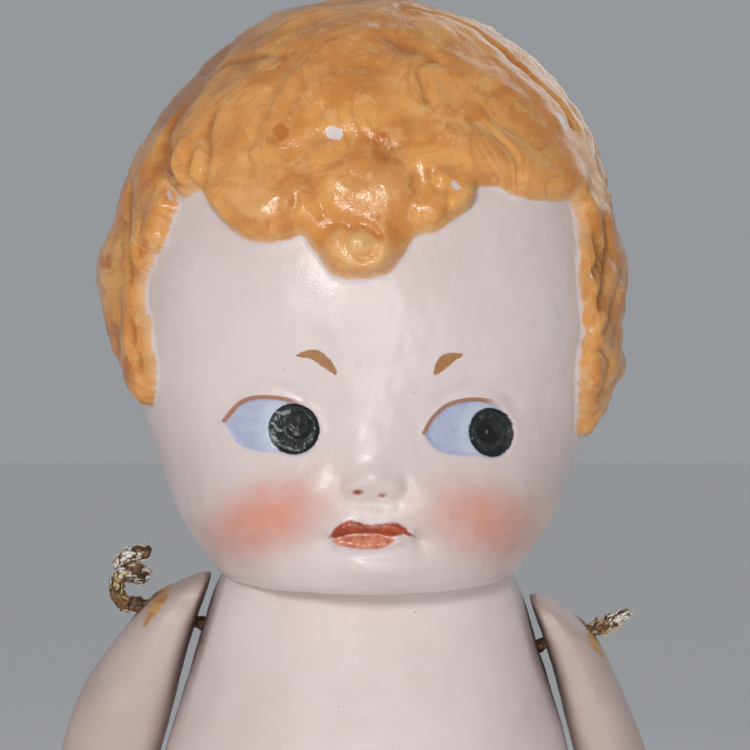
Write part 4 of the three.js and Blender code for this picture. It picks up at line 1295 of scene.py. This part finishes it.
def rust_material():
    """A dark core under flakes whose tone runs from brown through gold to silver."""
    shader = Shader("rusty_wire")
    core = shader.over((60, 38, 26), (128, 88, 52), shader.ramp(shader.noise(0.4, 6.0, 0.65), 0.42, 0.58))
    loose = shader.over((134, 88, 54), (196, 168, 114), shader.ramp("tone", 0.25, 0.5))
    loose = shader.over(loose, (236, 232, 222), shader.ramp("tone", 0.55, 0.8))
    is_flake = shader.ramp("tone", 0.02, 0.06)
    shine = shader.times(is_flake, shader.ramp("tone", 0.4, 0.8))
    return shader.finish(
        base_color=shader.over(core, loose, is_flake),
        metallic=shader.times(shine, 0.3),
        roughness=0.32,
        normal=shader.bump(shader.noise(0.25, 5.0, 0.7), 0.1),
    )


# ---------------------------------------------------------------- stage

CAMERA_LENS, SENSOR = 163.0, 36.0
CAMERA_AIM = (0.6, 0.0, 111.0)
CAMERA_AWAY = 260.0
FLOOR_HALF = 4000.0
STUDIO_COLOUR, STUDIO_STRENGTH = (236, 240, 246), 0.36
LAMPS = [  # name, place, width, power
    ("key", (-110, -500, 225), 70, 1.03),
    ("front", (50, -520, 70), 60, 0.32),
    ("back", (250, 450, 420), 400, 0.5),
]


def set_stage():
    scene = bpy.context.scene
    scene.view_settings.view_transform = "Standard"
    corners = [(x * FLOOR_HALF, y * FLOOR_HALF, 0) for x, y in ((-1, -1), (1, -1), (1, 1), (-1, 1))]
    floor = make_mesh("floor", corners, [(0, 1, 2, 3)])
    floor.data.materials.append(Shader("paper").finish(base_color=(250, 250, 248), roughness=0.8))
    world = bpy.data.worlds.new("studio")
    world.use_nodes = True
    background = world.node_tree.nodes["Background"]
    background.inputs["Color"].default_value = colour(*STUDIO_COLOUR)
    background.inputs["Strength"].default_value = STUDIO_STRENGTH
    scene.world = world
    aim = Vector(CAMERA_AIM) * MM
    for name, place, size, power in LAMPS:
        lamp = bpy.data.lights.new(name, "AREA")
        lamp.size = size * MM
        lamp.energy = power
        made = bpy.data.objects.new(name, lamp)
        made.location = Vector(place) * MM
        made.rotation_euler = (aim - made.location).to_track_quat("-Z", "Y").to_euler()
        scene.collection.objects.link(made)
    camera = bpy.data.objects.new("camera", bpy.data.cameras.new("camera"))
    camera.data.lens = CAMERA_LENS
    camera.data.sensor_width = SENSOR
    camera.data.clip_start = 0.01
    camera.location = aim - Vector((0, CAMERA_AWAY * MM, 0))
    camera.rotation_euler = (math.pi / 2, 0, 0)
    scene.collection.objects.link(camera)
    scene.camera = camera


# ---------------------------------------------------------------- the doll

casting = make_casting()
left_arm, right_arm = make_arm("left"), make_arm("right")
left_leg, right_leg = make_leg("left"), make_leg("right")
frayed = shoulder_at("left", FRAYED)
shoulder_wire = make_wire("rusty_shoulder_wire", shoulder_wire_path(), 71, (11.2, 3.6), frayed)
hip_wire = make_wire("rusty_hip_wire", hip_wire_path(), 81, (6.5, 6.5))
set_stage()
LOOKS = {"painted": head_material(), "bisque": limb_material(), "rust": rust_material()}
PIECES = [
    (casting, "torso", "head_and_torso", "painted", "bisque"),
    (left_arm, "left_arm", "left_arm", "bisque", "bisque"),
    (right_arm, "right_arm", "right_arm", "bisque", "bisque"),
    (left_leg, "left_leg", "left_leg", "bisque", "bisque"),
    (right_leg, "right_leg", "right_leg", "bisque", "bisque"),
    (shoulder_wire, "torso", "shoulder_wire", "rust", "rusty_wire"),
    (hip_wire, "torso", "hip_wire", "rust", "rusty_wire"),
]
for piece, body, node, look, slot in PIECES:
    piece.data.materials.clear()
    piece.data.materials.append(LOOKS[look])
    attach(piece, body)
    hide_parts(node)
